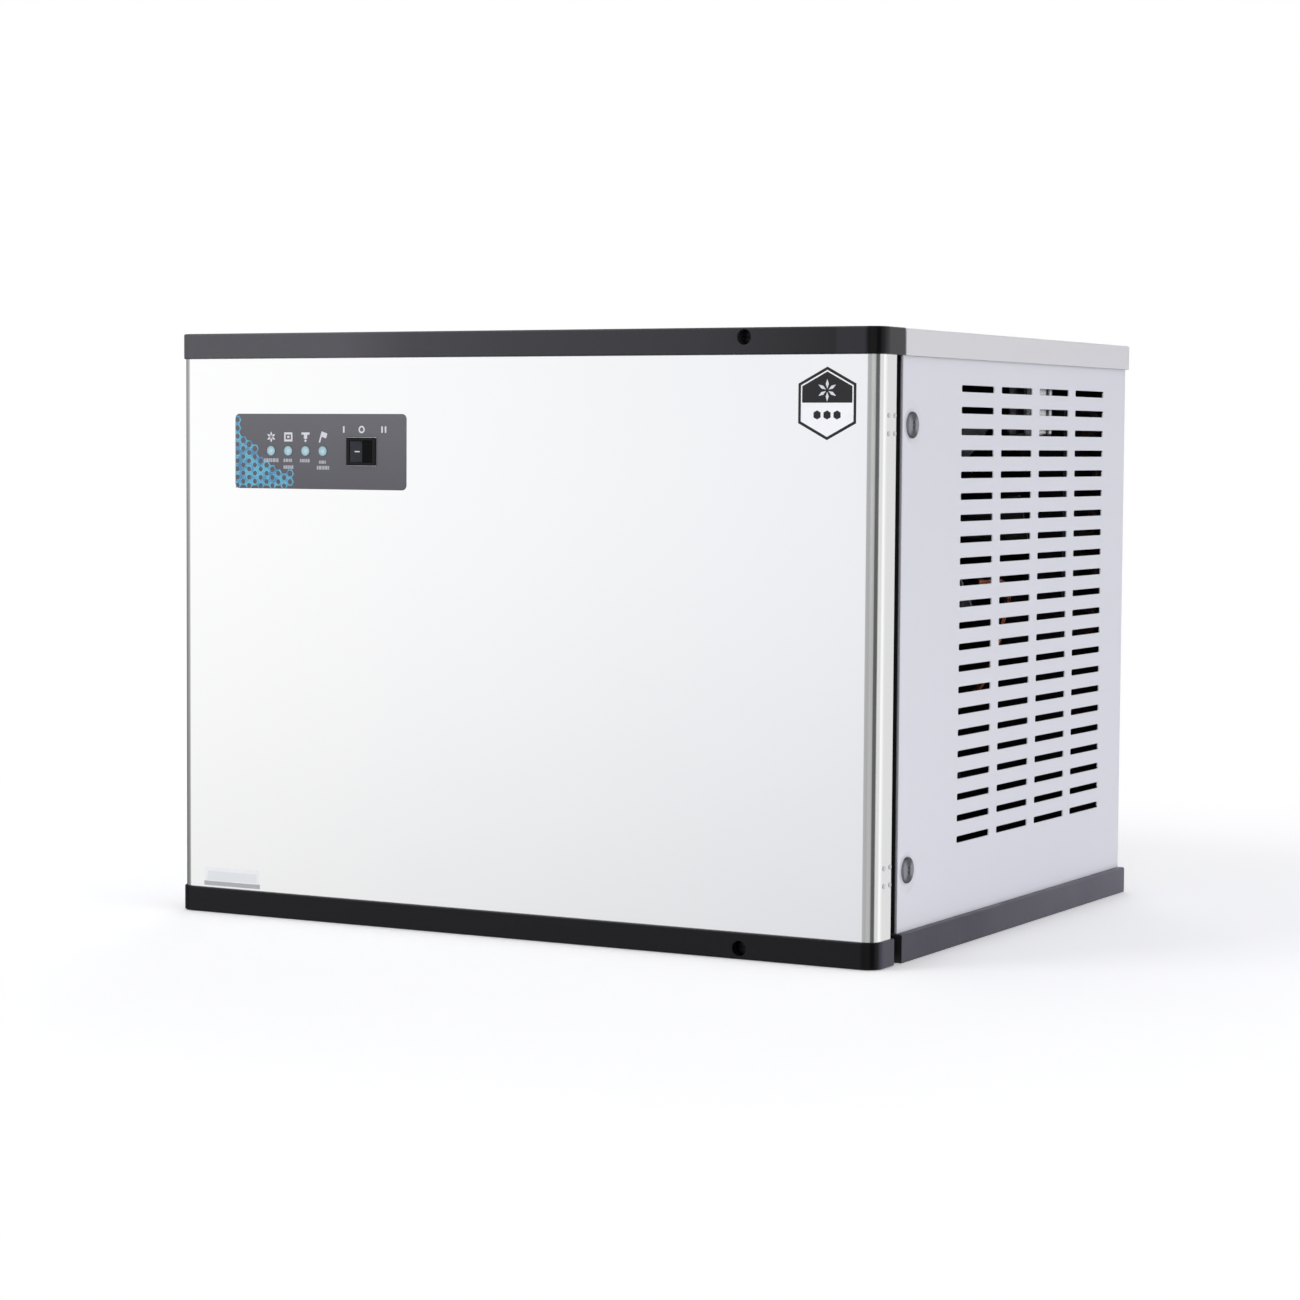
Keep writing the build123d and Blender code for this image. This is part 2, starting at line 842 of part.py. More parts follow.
def cabinet_hinge_leaves():
    leaf_x = (-panel_outer - hinge_leaf_sheet, -panel_outer)
    leaves = []
    for level in hinge_levels:
        z = around(level, hinge_leaf_height)
        lower = (z[0], level)
        leaf = block(leaf_x, (hinge_y + hinge_leaf_setback, hinge_y + hinge_cabinet_leaf_reach), z)
        leaf += block(leaf_x, (hinge_y, hinge_y + hinge_leaf_setback), lower)
        leaf += rod_z(hinge_knuckle_radius, hinge_x, hinge_y, lower)
        leaf += rod_z(hinge_pin_radius, hinge_x, hinge_y, z)
        leaf -= rod_x(fastener_hole_radius, (leaf_x[0] - overrun, leaf_x[1] + overrun), fastener_y, level)
        leaves.append(leaf)
    return leaves


def front_panel_rivets():
    """Rivets hold the leaves at the left and close the same holes at the right."""
    rivets = []
    for y, z in rivet_places():
        inner = skin_half - skin_sheet - rivet_head_height
        right = rod_x(rivet_radius, (inner, skin_half), y, z)
        right += rod_x(rivet_head_radius, (skin_half, skin_half + rivet_head_height), y, z)
        left = rod_x(rivet_radius, (-skin_half - hinge_leaf_sheet, -inner), y, z)
        head_face = -skin_half - hinge_leaf_sheet
        left += rod_x(rivet_head_radius, (head_face - rivet_head_height, head_face), y, z)
        rivets += [right, left]
    return rivets


def side_panel_fasteners():
    """Broad low heads that clamp the side panels, and at the left the hinge leaves, to the posts."""
    fasteners = []
    for level in hinge_levels:
        for side, seat in ((1, panel_outer), (-1, panel_outer + hinge_leaf_sheet)):
            top = seat + fastener_head_height
            head = rod_x(fastener_head_radius, (seat, top), fastener_y, level)
            head = fillet(head.edges().filter_by(GeomType.CIRCLE).sort_by(Axis.X)[-1], fastener_head_edge)
            socket = (top - fastener_socket_depth, top + overrun)
            head -= rod_x(fastener_socket_radius, socket, fastener_y, level)
            head += rod_x(fastener_shank_radius, (panel_outer - fastener_length, seat), fastener_y, level)
            fasteners.append(head if side > 0 else mirror(head, Plane.YZ))
    return fasteners


# Base: insulated slab with the ice drop opening through it
def base():
    slab = block((-half_width, half_width), (base_front, half_depth), (0, base_height))
    slab = fillet(slab.edges().group_by(Axis.Z)[-1], base_edge)
    slab -= block(
        (-half_width + drop_opening_left_inset, room_right - drop_opening_right_gap),
        (base_front + drop_opening_front_gap, trough_front - drop_opening_back_gap),
        (-overrun, base_height + overrun),
    )
    for x in around(0, width - 2 * foot_hole_inset_x):
        for y in around(0, depth - 2 * foot_hole_inset_y):
            slab -= rod_z(foot_hole_radius, x, y, (-overrun, foot_hole_depth))
    return slab


# Side panels: plain at the left, slotted at the right, each with a rear hem
def side_panel():
    panel = block((panel_inner, panel_outer), (panel_front, panel_back), (base_height, cover_under))
    panel += block(
        (panel_inner - panel_hem, panel_inner),
        (panel_back - sheet, panel_back),
        (base_height, cover_under),
    )
    through = (panel_inner - overrun, panel_outer + overrun)
    for level in hinge_levels:
        panel -= rod_x(fastener_hole_radius, through, fastener_y, level)
    rear = (panel_back - sheet - overrun, panel_back)
    return panel - rod_y(rear_screw_shank_radius, rear_screw_x(), rear, rear_screw_z())


def rear_screw_x():
    return panel_inner - panel_hem / 2


def rear_screw_z():
    return height - rear_screw_drop


def slot_grid(plane, columns, rows, column_pitch, row_pitch):
    """Cutters for a grid of long rounded slots centred on a plane, sized from the space between them."""
    slot_height = slot_height_share * row_pitch
    slot = RectangleRounded(slot_length_share * column_pitch, slot_height, slot_corner_share * slot_height)
    slots = Sketch() + [place * slot for place in GridLocations(column_pitch, row_pitch, columns, rows)]
    return extrude(plane * slots, sheet + overrun, both=True)


def left_side_panel():
    return mirror(side_panel(), Plane.YZ)


def right_side_panel():
    row_pitch = slot_row_pitch_share * height
    column_pitch = slot_column_pitch_share * depth
    middle_y = front + slot_first_column_share * depth + (slot_columns - 1) * column_pitch / 2
    middle_z = height - slot_first_row_share * height - (slot_rows - 1) * row_pitch / 2
    plane = Plane(origin=(panel_outer, middle_y, middle_z), x_dir=(0, 1, 0), z_dir=(1, 0, 0))
    return side_panel() - slot_grid(plane, slot_columns, slot_rows, column_pitch, row_pitch)


# Top cover: a shallow lid with lips at both sides and the back
def top_cover():
    lid = block((-cover_half, cover_half), (cover_front, cover_back), (height - cover_lip, height))
    outer_edges = lid.edges().group_by(Axis.Z)[-1].sort_by(Axis.Y)[1:]
    lid = fillet(outer_edges, cover_bend)
    lid -= block(
        (-cover_half + sheet, cover_half - sheet),
        (cover_front - overrun, cover_back - sheet),
        (height - cover_lip - overrun, cover_under),
    )
    for x in (-rear_screw_x(), rear_screw_x()):
        lid -= rod_y(rear_screw_shank_radius, x, (panel_back, half_depth), rear_screw_z())
    return lid


# Back panel: set in from the rear, with a slotted field behind the condenser
def back_panel():
    panel = block((-panel_inner, panel_inner), (back_inner, back_outer), (base_height, cover_under))
    flange = block(
        (panel_inner - sheet, panel_inner),
        (back_outer, back_outer + back_flange),
        (base_height, cover_under),
    )
    for side in mirrored(flange):
        panel += side
    plane = Plane(origin=(fan_x, back_outer, fan_z), x_dir=(1, 0, 0), z_dir=(0, 1, 0))
    column_pitch = back_slot_column_pitch_share * (fin_pack_right - fin_pack_left)
    row_pitch = back_slot_row_pitch_share * (fin_pack_top - fin_pack_bottom)
    panel -= slot_grid(plane, back_slot_columns, back_slot_rows, column_pitch, row_pitch)
    wall = (back_inner - overrun, back_outer + overrun)
    panel -= rod_y(inlet_neck_radius + wall_hole_gap, inlet_valve_x, wall, inlet_valve_height)
    panel -= rod_y(drain_neck_radius + wall_hole_gap, drain_outlet_x, wall, drain_height)
    panel -= rod_y(gland_neck_radius + wall_hole_gap, gland_x, wall, gland_height)
    for level in partition_screw_levels():
        panel -= rod_y(rear_screw_shank_radius, partition_screw_x(), wall, level)
    return panel


def partition_screw_x():
    return partition_right + partition_flange / 2


def partition_screw_levels():
    """Screw levels up the partition's rear flange, evenly spaced between base and cover."""
    rise = (cover_under - base_height) / rear_screw_rows
    return [base_height + (i + 1 / 2) * rise for i in range(rear_screw_rows)]


def rear_screws():
    places = [(x, cover_back, rear_screw_z()) for x in (-rear_screw_x(), rear_screw_x())]
    places += [(partition_screw_x(), back_outer, level) for level in partition_screw_levels()]
    screws = []
    for x, seat, z in places:
        head = rod_y(rear_screw_radius, x, (seat, seat + rear_screw_head), z)
        screws.append(head + rod_y(rear_screw_shank_radius, x, (seat - rear_screw_length, seat), z))
    return screws


# Front frame: two channel posts and two rails
def front_posts():
    inner = panel_inner - post_width
    depth_span = (post_front, chamber_front - seat_gap)
    tall = (base_height, skin_top)
    post = block((inner, panel_inner), depth_span, tall)
    post -= block(
        (inner + post_sheet, panel_inner - post_sheet),
        (post_front + post_sheet, chamber_front + overrun),
        (base_height - overrun, skin_top + overrun),
    )
    side = (panel_inner - 2 * post_sheet, panel_inner + overrun)
    for level in hinge_levels:
        post -= rod_x(fastener_hole_radius, side, fastener_y, level)
    return mirrored(post)


def top_front_rail():
    half = half_width - rail_end_inset
    web_front = top_trim_back + seat_gap
    rail_back = chamber_front - seat_gap
    rail = block((-half, half), (web_front, rail_back), (skin_top, cover_under))
    rail -= block(
        (-half - overrun, half + overrun),
        (web_front + post_sheet, rail_back + overrun),
        (skin_top + post_sheet, cover_under - post_sheet),
    )
    web = (web_front - overrun, web_front + post_sheet + overrun)
    return rail - rod_y(lock_shank_radius + lock_shank_gap, lock_screw_x, web, lock_screw_heights[0])


def bottom_front_rail():
    half = half_width - bottom_rail_end_inset
    web_front = bottom_trim_back + seat_gap
    rail_top = trim_height - seat_gap
    rail = block((-half, half), (web_front, base_front), (bottom_rail_rise, rail_top))
    rail -= block(
        (-half - overrun, half + overrun),
        (web_front + post_sheet, base_front + overrun),
        (bottom_rail_rise + post_sheet, rail_top - post_sheet),
    )
    web = (web_front - overrun, web_front + post_sheet + overrun)
    return rail - rod_y(lock_shank_radius + lock_shank_gap, lock_screw_x, web, lock_screw_heights[1])


# Walls between the two compartments, drilled where pipes pass
def wall_holes(x):
    """Cutters for the four pipes that cross from the machinery into the ice chamber."""
    span = (x[0] - overrun, x[1] + overrun)
    cutters = [rod_x(coil_radius + wall_hole_gap, span, coil_y, level) for level in (coil_bottom, coil_top)]
    cutters.append(rod_x(drain_pipe_radius + wall_hole_gap, span, drain_y, drain_height))
    cutters.append(rod_x(fill_tube_radius + wall_hole_gap, span, fill_tube_y, inlet_valve_height))
    return cutters


def centre_partition():
    across = (partition_left, partition_right)
    lid_front = chamber_front - chamber_cover_thickness
    wall = block(across, (lid_front, back_inner), (base_height, cover_under))
    wall += block(
        (partition_right, partition_right + partition_flange),
        (back_inner - sheet, back_inner),
        (base_height, cover_under),
    )
    wall -= block(
        (partition_left - overrun, partition_right + overrun),
        (lid_front - overrun, chamber_front),
        (skin_top, cover_under + overrun),
    )
    for cutter in wall_holes(across):
        wall -= cutter
    for level in partition_screw_levels():
        rear = (back_inner - sheet - overrun, back_inner)
        wall -= rod_y(rear_screw_shank_radius, partition_screw_x(), rear, level)
    return wall


def ice_chamber_liner():
    shell = block((liner_left, liner_right), (chamber_front, liner_back), (base_height, liner_top))
    shell -= block(
        (room_left, room_right),
        (chamber_front - overrun, room_back),
        (base_height - overrun, liner_top - liner_wall),
    )
    for cutter in wall_holes((room_right, liner_right)):
        shell -= cutter
    return shell


def chamber_insulation():
    foam = block((-panel_inner, partition_left), (chamber_front, back_inner), (base_height, cover_under))
    foam -= block(
        (liner_left, liner_right),
        (chamber_front - overrun, liner_back),
        (base_height - overrun, liner_top),
    )
    for cutter in wall_holes((liner_right, partition_left)):
        foam -= cutter
    return foam


def chamber_cover():
    left = -panel_inner + post_width + seat_gap
    lid = block(
        (left, partition_left - seat_gap),
        (chamber_front - chamber_cover_thickness, chamber_front),
        (base_height + seat_gap, skin_top - seat_gap),
    )
    return fillet(lid.edges().group_by(Axis.Y)[0], chamber_cover_edge)


# Evaporator: plated pan and cell grid, coil behind, moulded frame round it
def evaporator_plate():
    middle = Plane(
        origin=(
            (evaporator_left + evaporator_right) / 2,
            pan_back,
            (evaporator_bottom + evaporator_top) / 2,
        ),
        x_dir=(1, 0, 0),
        z_dir=(0, -1, 0),
    )
    outline = Rectangle(evaporator_right - evaporator_left, evaporator_top - evaporator_bottom)
    pan = extrude(middle * outline, cell_depth + evaporator_pan)
    opening = Rectangle(cell_width - cell_wall, cell_height - cell_wall)
    grid = GridLocations(cell_width, cell_height, cell_columns, cell_rows)
    cells = Sketch() + [place * opening for place in grid]
    return pan - extrude(middle.offset(evaporator_pan) * cells, cell_depth + overrun)


def evaporator_coil():
    near = evaporator_right - coil_end_margin
    far = evaporator_left + coil_end_margin
    path = serpentine((near, far), coil_y, coil_bottom, coil_pitch, coil_passes, coil_lead_end)
    return swept_tube(path, coil_radius, coil_wall)


def evaporator_frame():
    cheek_y = (cheek_front, room_back)
    cheek_z = (cheek_bottom, cheek_top)
    ear_y = (evaporator_front - cheek_ear_reach, cheek_front)
    ear_z = (cheek_top - cheek_ear_height, cheek_top)
    left_x = (cheek_left, evaporator_left)
    right_x = (evaporator_right, cheek_right)
    frame = block(left_x, cheek_y, cheek_z) + block(left_x, ear_y, ear_z)
    frame += block(right_x, cheek_y, cheek_z) + block(right_x, ear_y, ear_z)
    bar_y = around(evaporator_front + tie_bar_setback, tie_bar_width)
    for bar_z in (
        (cheek_top - tie_bar_height, cheek_top),
        (cheek_bottom, cheek_bottom + tie_bar_height),
    ):
        frame += block((evaporator_left, evaporator_right), bar_y, bar_z)
    frame += block(
        (cheek_right, room_right - shelf_end_gap),
        (shelf_front, shelf_front + shelf_length),
        (shelf_bottom, shelf_top),
    )
    through = (cheek_left - overrun, cheek_right + overrun)
    frame -= rod_x(curtain_pin_radius + running_gap, through, curtain_y, curtain_z)
    right_through = (evaporator_right - overrun, cheek_right + overrun)
    frame -= rod_x(spray_tube_radius + running_gap, right_through, spray_y, spray_z)
    for level in (coil_bottom, coil_top):
        frame -= rod_x(coil_radius + wall_hole_gap, right_through, coil_y, level)
    shelf_through = (shelf_bottom - overrun, shelf_top + overrun)
    frame -= rod_z(pump_column_bore, pump_x, pump_y, shelf_through)
    pin_x = (evaporator_right - probe_pin_reach, evaporator_right)
    return frame + rod_x(probe_pin_radius, pin_x, probe_y, probe_z)


# Water parts inside the chamber
def water_distribution_tube():
    span = (evaporator_left, cheek_right + spray_tube_overhang)
    tube = rod_x(spray_tube_radius, span, spray_y, spray_z)
    bore = (evaporator_left + spray_tube_wall, span[1] + overrun)
    tube -= rod_x(spray_tube_radius - spray_tube_wall, bore, spray_y, spray_z)
    for i in range(cell_columns):
        x = evaporator_left + (i + 1 / 2) * cell_width
        tube -= rod_z(spray_hole_radius, x, spray_y, (spray_z - spray_tube_radius - overrun, spray_z))
    return tube


def pump_hose():
    nozzle_end = pump_y - volute_radius - volute_nozzle_length
    level = volute_bottom + volute_height / 2
    points = [
        (pump_x, nozzle_end, level),
        (pump_x, spray_y, level),
        (pump_x, spray_y, spray_z),
        (cheek_right + spray_tube_overhang, spray_y, spray_z),
    ]
    return pipe(points, hose_bend, hose_radius, hose_wall)


def water_curtain():
    """A clear flap that hangs in front of the grid, with a magnet at its lower right corner."""
    span = (evaporator_left + curtain_side_gap, evaporator_right - curtain_side_gap)
    bottom = cheek_bottom - curtain_drop
    flap = block(span, around(curtain_y, curtain_sheet), (bottom, curtain_z))
    flap += rod_x(curtain_hub_radius, span, curtain_y, curtain_z)
    pins = (evaporator_left - curtain_pin_length, evaporator_right + curtain_pin_length)
    flap += rod_x(curtain_pin_radius, pins, curtain_y, curtain_z)
    flap_front = curtain_y - curtain_sheet / 2
    return flap + block(
        (span[1] - curtain_magnet_size, span[1]),
        (flap_front - curtain_magnet_thickness, flap_front),
        (bottom, bottom + curtain_magnet_size),
    )


def thickness_probe_arm():
    """A small arm that hangs from a pin on the right cheek, its tip towards the ice."""
    hub_x = (evaporator_right - probe_pin_reach + probe_hub_gap, evaporator_right - probe_hub_gap)
    arm_x = around((hub_x[0] + hub_x[1]) / 2, probe_arm_width)
    arm = rod_x(probe_hub_radius, hub_x, probe_y, probe_z)
    arm_front = probe_y - probe_arm_sheet * 2
    arm += block(arm_x, (arm_front, arm_front + probe_arm_sheet), (probe_z - probe_arm_length, probe_z))
    tip_level = probe_z - probe_arm_length + probe_arm_sheet * 2
    tip_x = (arm_x[0] + arm_x[1]) / 2
    tip_y = (arm_front, arm_front + probe_arm_sheet + probe_tip_length)
    arm += rod_y(probe_tip_radius, tip_x, tip_y, tip_level)
    bore = (hub_x[0] - overrun, hub_x[1] + overrun)
    return arm - rod_x(probe_pin_radius + running_gap, bore, probe_y, probe_z)


def water_trough():
    x = (trough_left, trough_right)
    y = (trough_front, trough_back)
    tub = block(x, y, (trough_bottom, trough_top))
    tub -= block(
        (x[0] + trough_wall, x[1] - trough_wall),
        (y[0] + trough_wall, y[1] - trough_wall),
        (trough_bottom + trough_wall, trough_top + overrun),
    )
    feet = (base_height, trough_bottom)
    for foot_x in ((x[0], x[0] + trough_foot_size), (x[1] - trough_foot_size, x[1])):
        for foot_y in ((y[0], y[0] + trough_foot_size), (y[1] - trough_foot_size, y[1])):
            tub += block(foot_x, foot_y, feet)
    outlet = (trough_right - trough_wall - overrun, trough_right + overrun)
    return tub - rod_x(drain_pipe_radius - drain_pipe_wall, outlet, drain_y, drain_height)


# Circulation pump: motor on the shelf, column and volute hanging into the trough
def pump_motor():
    motor = rod_z(pump_motor_radius, pump_x, pump_y, (shelf_top, shelf_top + pump_motor_height))
    motor = fillet(motor.edges().sort_by(Axis.Z)[-1], pump_motor_edge)
    seat = (shelf_top - overrun, shelf_top + pump_shaft_seat)
    return motor - rod_z(pump_shaft_radius + running_gap, pump_x, pump_y, seat)


def pump_housing():
    x, y = pump_x, pump_y
    body = rod_z(pump_column_radius, x, y, (volute_top, shelf_bottom))
    body += rod_z(pump_flange_radius, x, y, (shelf_bottom - pump_flange_height, shelf_bottom))
    body += rod_z(volute_radius, x, y, (volute_bottom, volute_top))
    level = volute_bottom + volute_height / 2
    nozzle = (y - volute_radius - volute_nozzle_length, y)
    body += rod_y(hose_radius, x, nozzle, level)
    body -= rod_z(volute_radius - volute_wall, x, y, (volute_bottom + volute_wall, volute_top - volute_wall))
    body -= rod_z(volute_inlet_radius, x, y, (volute_bottom - overrun, volute_top - volute_wall))
    body -= rod_z(pump_column_bore, x, y, (volute_bottom, shelf_bottom + overrun))
    return body - rod_y(hose_radius - hose_wall, x, (nozzle[0] - overrun, y), level)


def pump_impeller():
    middle = volute_bottom + volute_height / 2
    wheel = around(middle, impeller_height)
    shaft = (wheel[0], shelf_top + pump_shaft_seat - seat_gap)
    disc = rod_z(impeller_radius, pump_x, pump_y, wheel)
    return disc + rod_z(pump_shaft_radius, pump_x, pump_y, shaft)


# Float switch beside the pump
def float_stem():
    stem = rod_z(float_stem_radius, pump_x, float_y, (float_stem_bottom, shelf_bottom))
    clip = (float_rest - float_clip_height, float_rest)
    stem += rod_z(float_clip_radius, pump_x, float_y, clip)
    upper_clip = float_rest + float_height + float_travel
    return stem + rod_z(float_clip_radius, pump_x, float_y, (upper_clip, upper_clip + float_clip_height))


def water_float():
    span = (float_rest, float_rest + float_height)
    ring = rod_z(float_radius, pump_x, float_y, span)
    bore = (span[0] - overrun, span[1] + overrun)
    return ring - rod_z(float_stem_radius + float_bore_gap, pump_x, float_y, bore)


# Water supply and drain
def water_inlet_valve():
    x, z = inlet_valve_x, inlet_valve_height
    body_y = (back_inner - inlet_valve_length, back_inner)
    body = block(around(x, inlet_valve_size), body_y, around(z, inlet_valve_size))
    coil_base = z + inlet_valve_size / 2
    coil_y_middle = back_inner - inlet_valve_length / 2
    body += rod_z(valve_coil_radius, x, coil_y_middle, (coil_base, coil_base + valve_coil_height))
    body += rod_y(inlet_neck_radius, x, (back_inner, back_outer), z)
    body += rod_y(inlet_thread_radius, x, (back_outer, back_outer + inlet_thread_proud), z)
    return body - rod_y(inlet_thread_bore, x, (back_inner, back_outer + inlet_thread_proud + overrun), z)


def fill_tube():
    start = inlet_valve_x - inlet_valve_size / 2
    middle_y = back_inner - inlet_valve_length / 2
    points = [
        (start, middle_y, inlet_valve_height),
        (fill_tube_x, middle_y, inlet_valve_height),
        (fill_tube_x, fill_tube_y, inlet_valve_height),
        (room_right - fill_tube_reach, fill_tube_y, inlet_valve_height),
    ]
    return pipe(points, fill_tube_bend, fill_tube_radius, fill_tube_wall)


def drain_valve():
    x = (drain_valve_left, drain_valve_left + drain_valve_size)
    body = block(x, around(drain_y, drain_valve_size), around(drain_height, drain_valve_size))
    coil_base = drain_height + drain_valve_size / 2
    body += rod_z(valve_coil_radius, drain_outlet_x, drain_y, (coil_base, coil_base + valve_coil_height))
    body += rod_x(drain_pipe_radius, (trough_right, x[0]), drain_y, drain_height)
    bore = (trough_right - overrun, x[0] + drain_pipe_wall)
    return body - rod_x(drain_pipe_radius - drain_pipe_wall, bore, drain_y, drain_height)


def drain_outlet_pipe():
    start = drain_y + drain_valve_size / 2
    end = back_outer + drain_outlet_proud
    outlet = rod_y(drain_neck_radius, drain_outlet_x, (start, back_outer), drain_height)
    outlet += rod_y(drain_outlet_radius, drain_outlet_x, (back_outer, end), drain_height)
    bore = (start - overrun, end + overrun)
    return outlet - rod_y(drain_neck_radius - drain_pipe_wall, drain_outlet_x, bore, drain_height)


# Compressor: welded shell on a foot plate with rubber grommets
def compressor():
    x, y = compressor_x, compressor_y
    shell = rod_z(compressor_radius, x, y, (compressor_bottom, compressor_top))
    shell = fillet(shell.edges().filter_by(GeomType.CIRCLE), compressor_dome)
    seam_level = compressor_bottom + compressor_height / 2
    seam = around(seam_level, compressor_seam_height)
    shell += rod_z(compressor_radius + compressor_seam, x, y, seam)
    plate = (compressor_bottom - compressor_plate, compressor_bottom)
    shell += block(around(x, compressor_plate_x), around(y, compressor_plate_y), plate)
    for foot_x, foot_y in grommet_places():
        shell -= rod_z(rivet_radius, foot_x, foot_y, (plate[0] - overrun, plate[1] + overrun))
    shell += block(
        around(x, terminal_box_width),
        (y - compressor_radius - terminal_box_depth, y),
        around(seam_level, terminal_box_height),
    )
    stub = (compressor_top - compressor_dome, compressor_top + stub_length)
    shell += rod_z(stub_radius, *discharge_stub(), stub)
    return shell + rod_x(stub_radius, suction_stub_span(), y, compressor_bottom + suction_stub_height)


def discharge_stub():
    x = compressor_x + discharge_stub_x_share * compressor_radius
    return x, compressor_y + discharge_stub_y_share * compressor_radius


def suction_stub_span():
    return compressor_x - compressor_radius - stub_length, compressor_x


def grommet_places():
    half_x = compressor_plate_x / 2 - grommet_inset
    half_y = compressor_plate_y / 2 - grommet_inset
    return [(compressor_x + i * half_x, compressor_y + j * half_y) for i in (-1, 1) for j in (-1, 1)]


def compressor_grommets():
    span = (base_height, base_height + grommet_height)
    return [rod_z(grommet_radius, x, y, span) for x, y in grommet_places()]


# Condenser: fin pack between end plates, one serpentine tube through it
def condenser_levels():
    return [condenser_first + i * condenser_pitch for i in range(condenser_passes)]


def condenser_fins():
    pack = block(
        (fin_pack_left, fin_pack_right),
        (fin_pack_front, fin_pack_back),
        (fin_pack_bottom, fin_pack_top),
    )
    for x in ((fin_pack_left - end_plate, fin_pack_left), (fin_pack_right, fin_pack_right + end_plate)):
        pack += block(x, (fin_pack_front, back_inner), (fin_pack_bottom, fin_pack_top))
    bore = (fin_pack_left - end_plate - overrun, fin_pack_right + end_plate + overrun)
    for level in condenser_levels():
        pack -= rod_x(coil_radius + running_gap, bore, condenser_y, level)
    return pack


def condenser_tube():
    near = fin_pack_left - end_plate - tube_overhang
    far = fin_pack_right + end_plate + tube_overhang
    path = serpentine((near, far), condenser_y, condenser_first, condenser_pitch, condenser_passes, near)
    return swept_tube(path, coil_radius, coil_wall)


# Fan: shroud with a three-arm motor spider, motor, and blades on a shaft
def fan_shroud():
    left = fin_pack_left - end_plate
    right = fin_pack_right + end_plate
    duct = block((left, right), (shroud_front, fin_pack_front), (fin_pack_bottom, fin_pack_top))
    duct -= block(
        (left + sheet, right - sheet),
        (shroud_front + sheet, fin_pack_front + overrun),
        (fin_pack_bottom + sheet, fin_pack_top - sheet),
    )
    duct -= rod_y(shroud_hole_radius, fan_x, (shroud_front - overrun, shroud_front + 2 * sheet), fan_z)
    across = (spider_front, spider_back)
    duct += rod_y(spider_ring_outer, fan_x, across, fan_z)
    for i in range(spider_arms):
        arm = block(
            (fan_x, fan_x + spider_leg_radius),
            across,
            around(fan_z, spider_arm_width),
        )
        arm += block(
            (fan_x + spider_leg_radius - spider_thickness, fan_x + spider_leg_radius),
            (spider_front, shroud_front),
            around(fan_z, spider_arm_width),
        )
        duct += arm.rotate(Axis((fan_x, 0, fan_z), (0, 1, 0)), spider_turn + i * full_turn / spider_arms)
    return duct - rod_y(spider_ring_inner, fan_x, (spider_front - overrun, spider_back + overrun), fan_z)


def fan_motor():
    motor = rod_y(fan_motor_radius, fan_x, (spider_front - fan_motor_length, spider_front), fan_z)
    motor = fillet(motor.edges().filter_by(GeomType.CIRCLE).sort_by(Axis.Y)[0], fan_motor_edge)
    boss_end = spider_back + spider_thickness
    motor += rod_y(fan_motor_boss, fan_x, (spider_front, boss_end), fan_z)
    seat = (boss_end - fan_shaft_seat, boss_end + overrun)
    return motor - rod_y(fan_shaft_radius + running_gap, fan_x, seat, fan_z)


def fan_blade():
    hub = rod_y(fan_hub_radius, fan_x, (fan_hub_front, fan_hub_back), fan_z)
    middle_y = (fan_hub_front + fan_hub_back) / 2
    root = fan_hub_radius / 2
    outline = [
        (root, -fan_blade_root_width / 2),
        (fan_radius * cos(radians(fan_tip_sweep)), -fan_blade_tip_width / 2),
        (fan_radius * cos(radians(fan_tip_sweep)), fan_blade_tip_width / 2),
        (root, fan_blade_root_width / 2),
    ]
    face = make_face(Polyline(*outline, close=True))
    blade = extrude(face, fan_blade_sheet / 2, both=True)
    blade = Rot(fan_blade_pitch_degrees, 0, 0) * Rot(90, 0, 0) * blade
    for i in range(fan_blades):
        hub += Pos(fan_x, middle_y, fan_z) * Rot(0, i * full_turn / fan_blades, 0) * blade
    shaft = (spider_back + spider_thickness - fan_shaft_seat + seat_gap, fan_hub_back)
    return hub + rod_y(fan_shaft_radius, fan_x, shaft, fan_z)


# Refrigerant circuit in copper pipe
def refrigerant_lines():
    """Discharge to the condenser, liquid through the drier to the expansion valve, and suction back."""
    return [discharge_line(), *liquid_line(), suction_line()]


def discharge_line():
    x, y = discharge_stub()
    far = fin_pack_left - end_plate - tube_overhang
    points = [
        (x, y, compressor_top + stub_length),
        (x, y, discharge_level),
        (line_corridor, y, discharge_level),
        (line_corridor, y, condenser_last),
        (line_corridor, condenser_y, condenser_last),
        (far, condenser_y, condenser_last),
    ]
    return pipe(points, line_bend, coil_radius, coil_wall)


def liquid_line():
    near = fin_pack_left - end_plate - tube_overhang
    riser = drier_top + drier_neck + drier_riser
    supply = [
        (near, condenser_y, condenser_first),
        (line_corridor, condenser_y, condenser_first),
        (line_corridor, drier_y, riser),
        (drier_x, drier_y, riser),
        (drier_x, drier_y, drier_top + drier_neck),
    ]
    sump = drier_bottom - drier_neck - drier_sump
    valve_bottom = coil_bottom - expansion_valve_size / 2 - expansion_stub
    feed = [
        (drier_x, drier_y, drier_bottom - drier_neck),
        (drier_x, drier_y, sump),
        (expansion_valve_x, coil_y, sump),
        (expansion_valve_x, coil_y, valve_bottom),
    ]
    return [pipe(points, line_bend, coil_radius, coil_wall) for points in (supply, feed)]


def suction_line():
    level = compressor_bottom + suction_stub_height
    points = [
        (coil_lead_end, coil_y, coil_top),
        (suction_riser_x, coil_y, coil_top),
        (suction_riser_x, compressor_y, level),
        (suction_stub_span()[0], compressor_y, level),
    ]
    return pipe(points, line_bend, coil_radius, coil_wall)


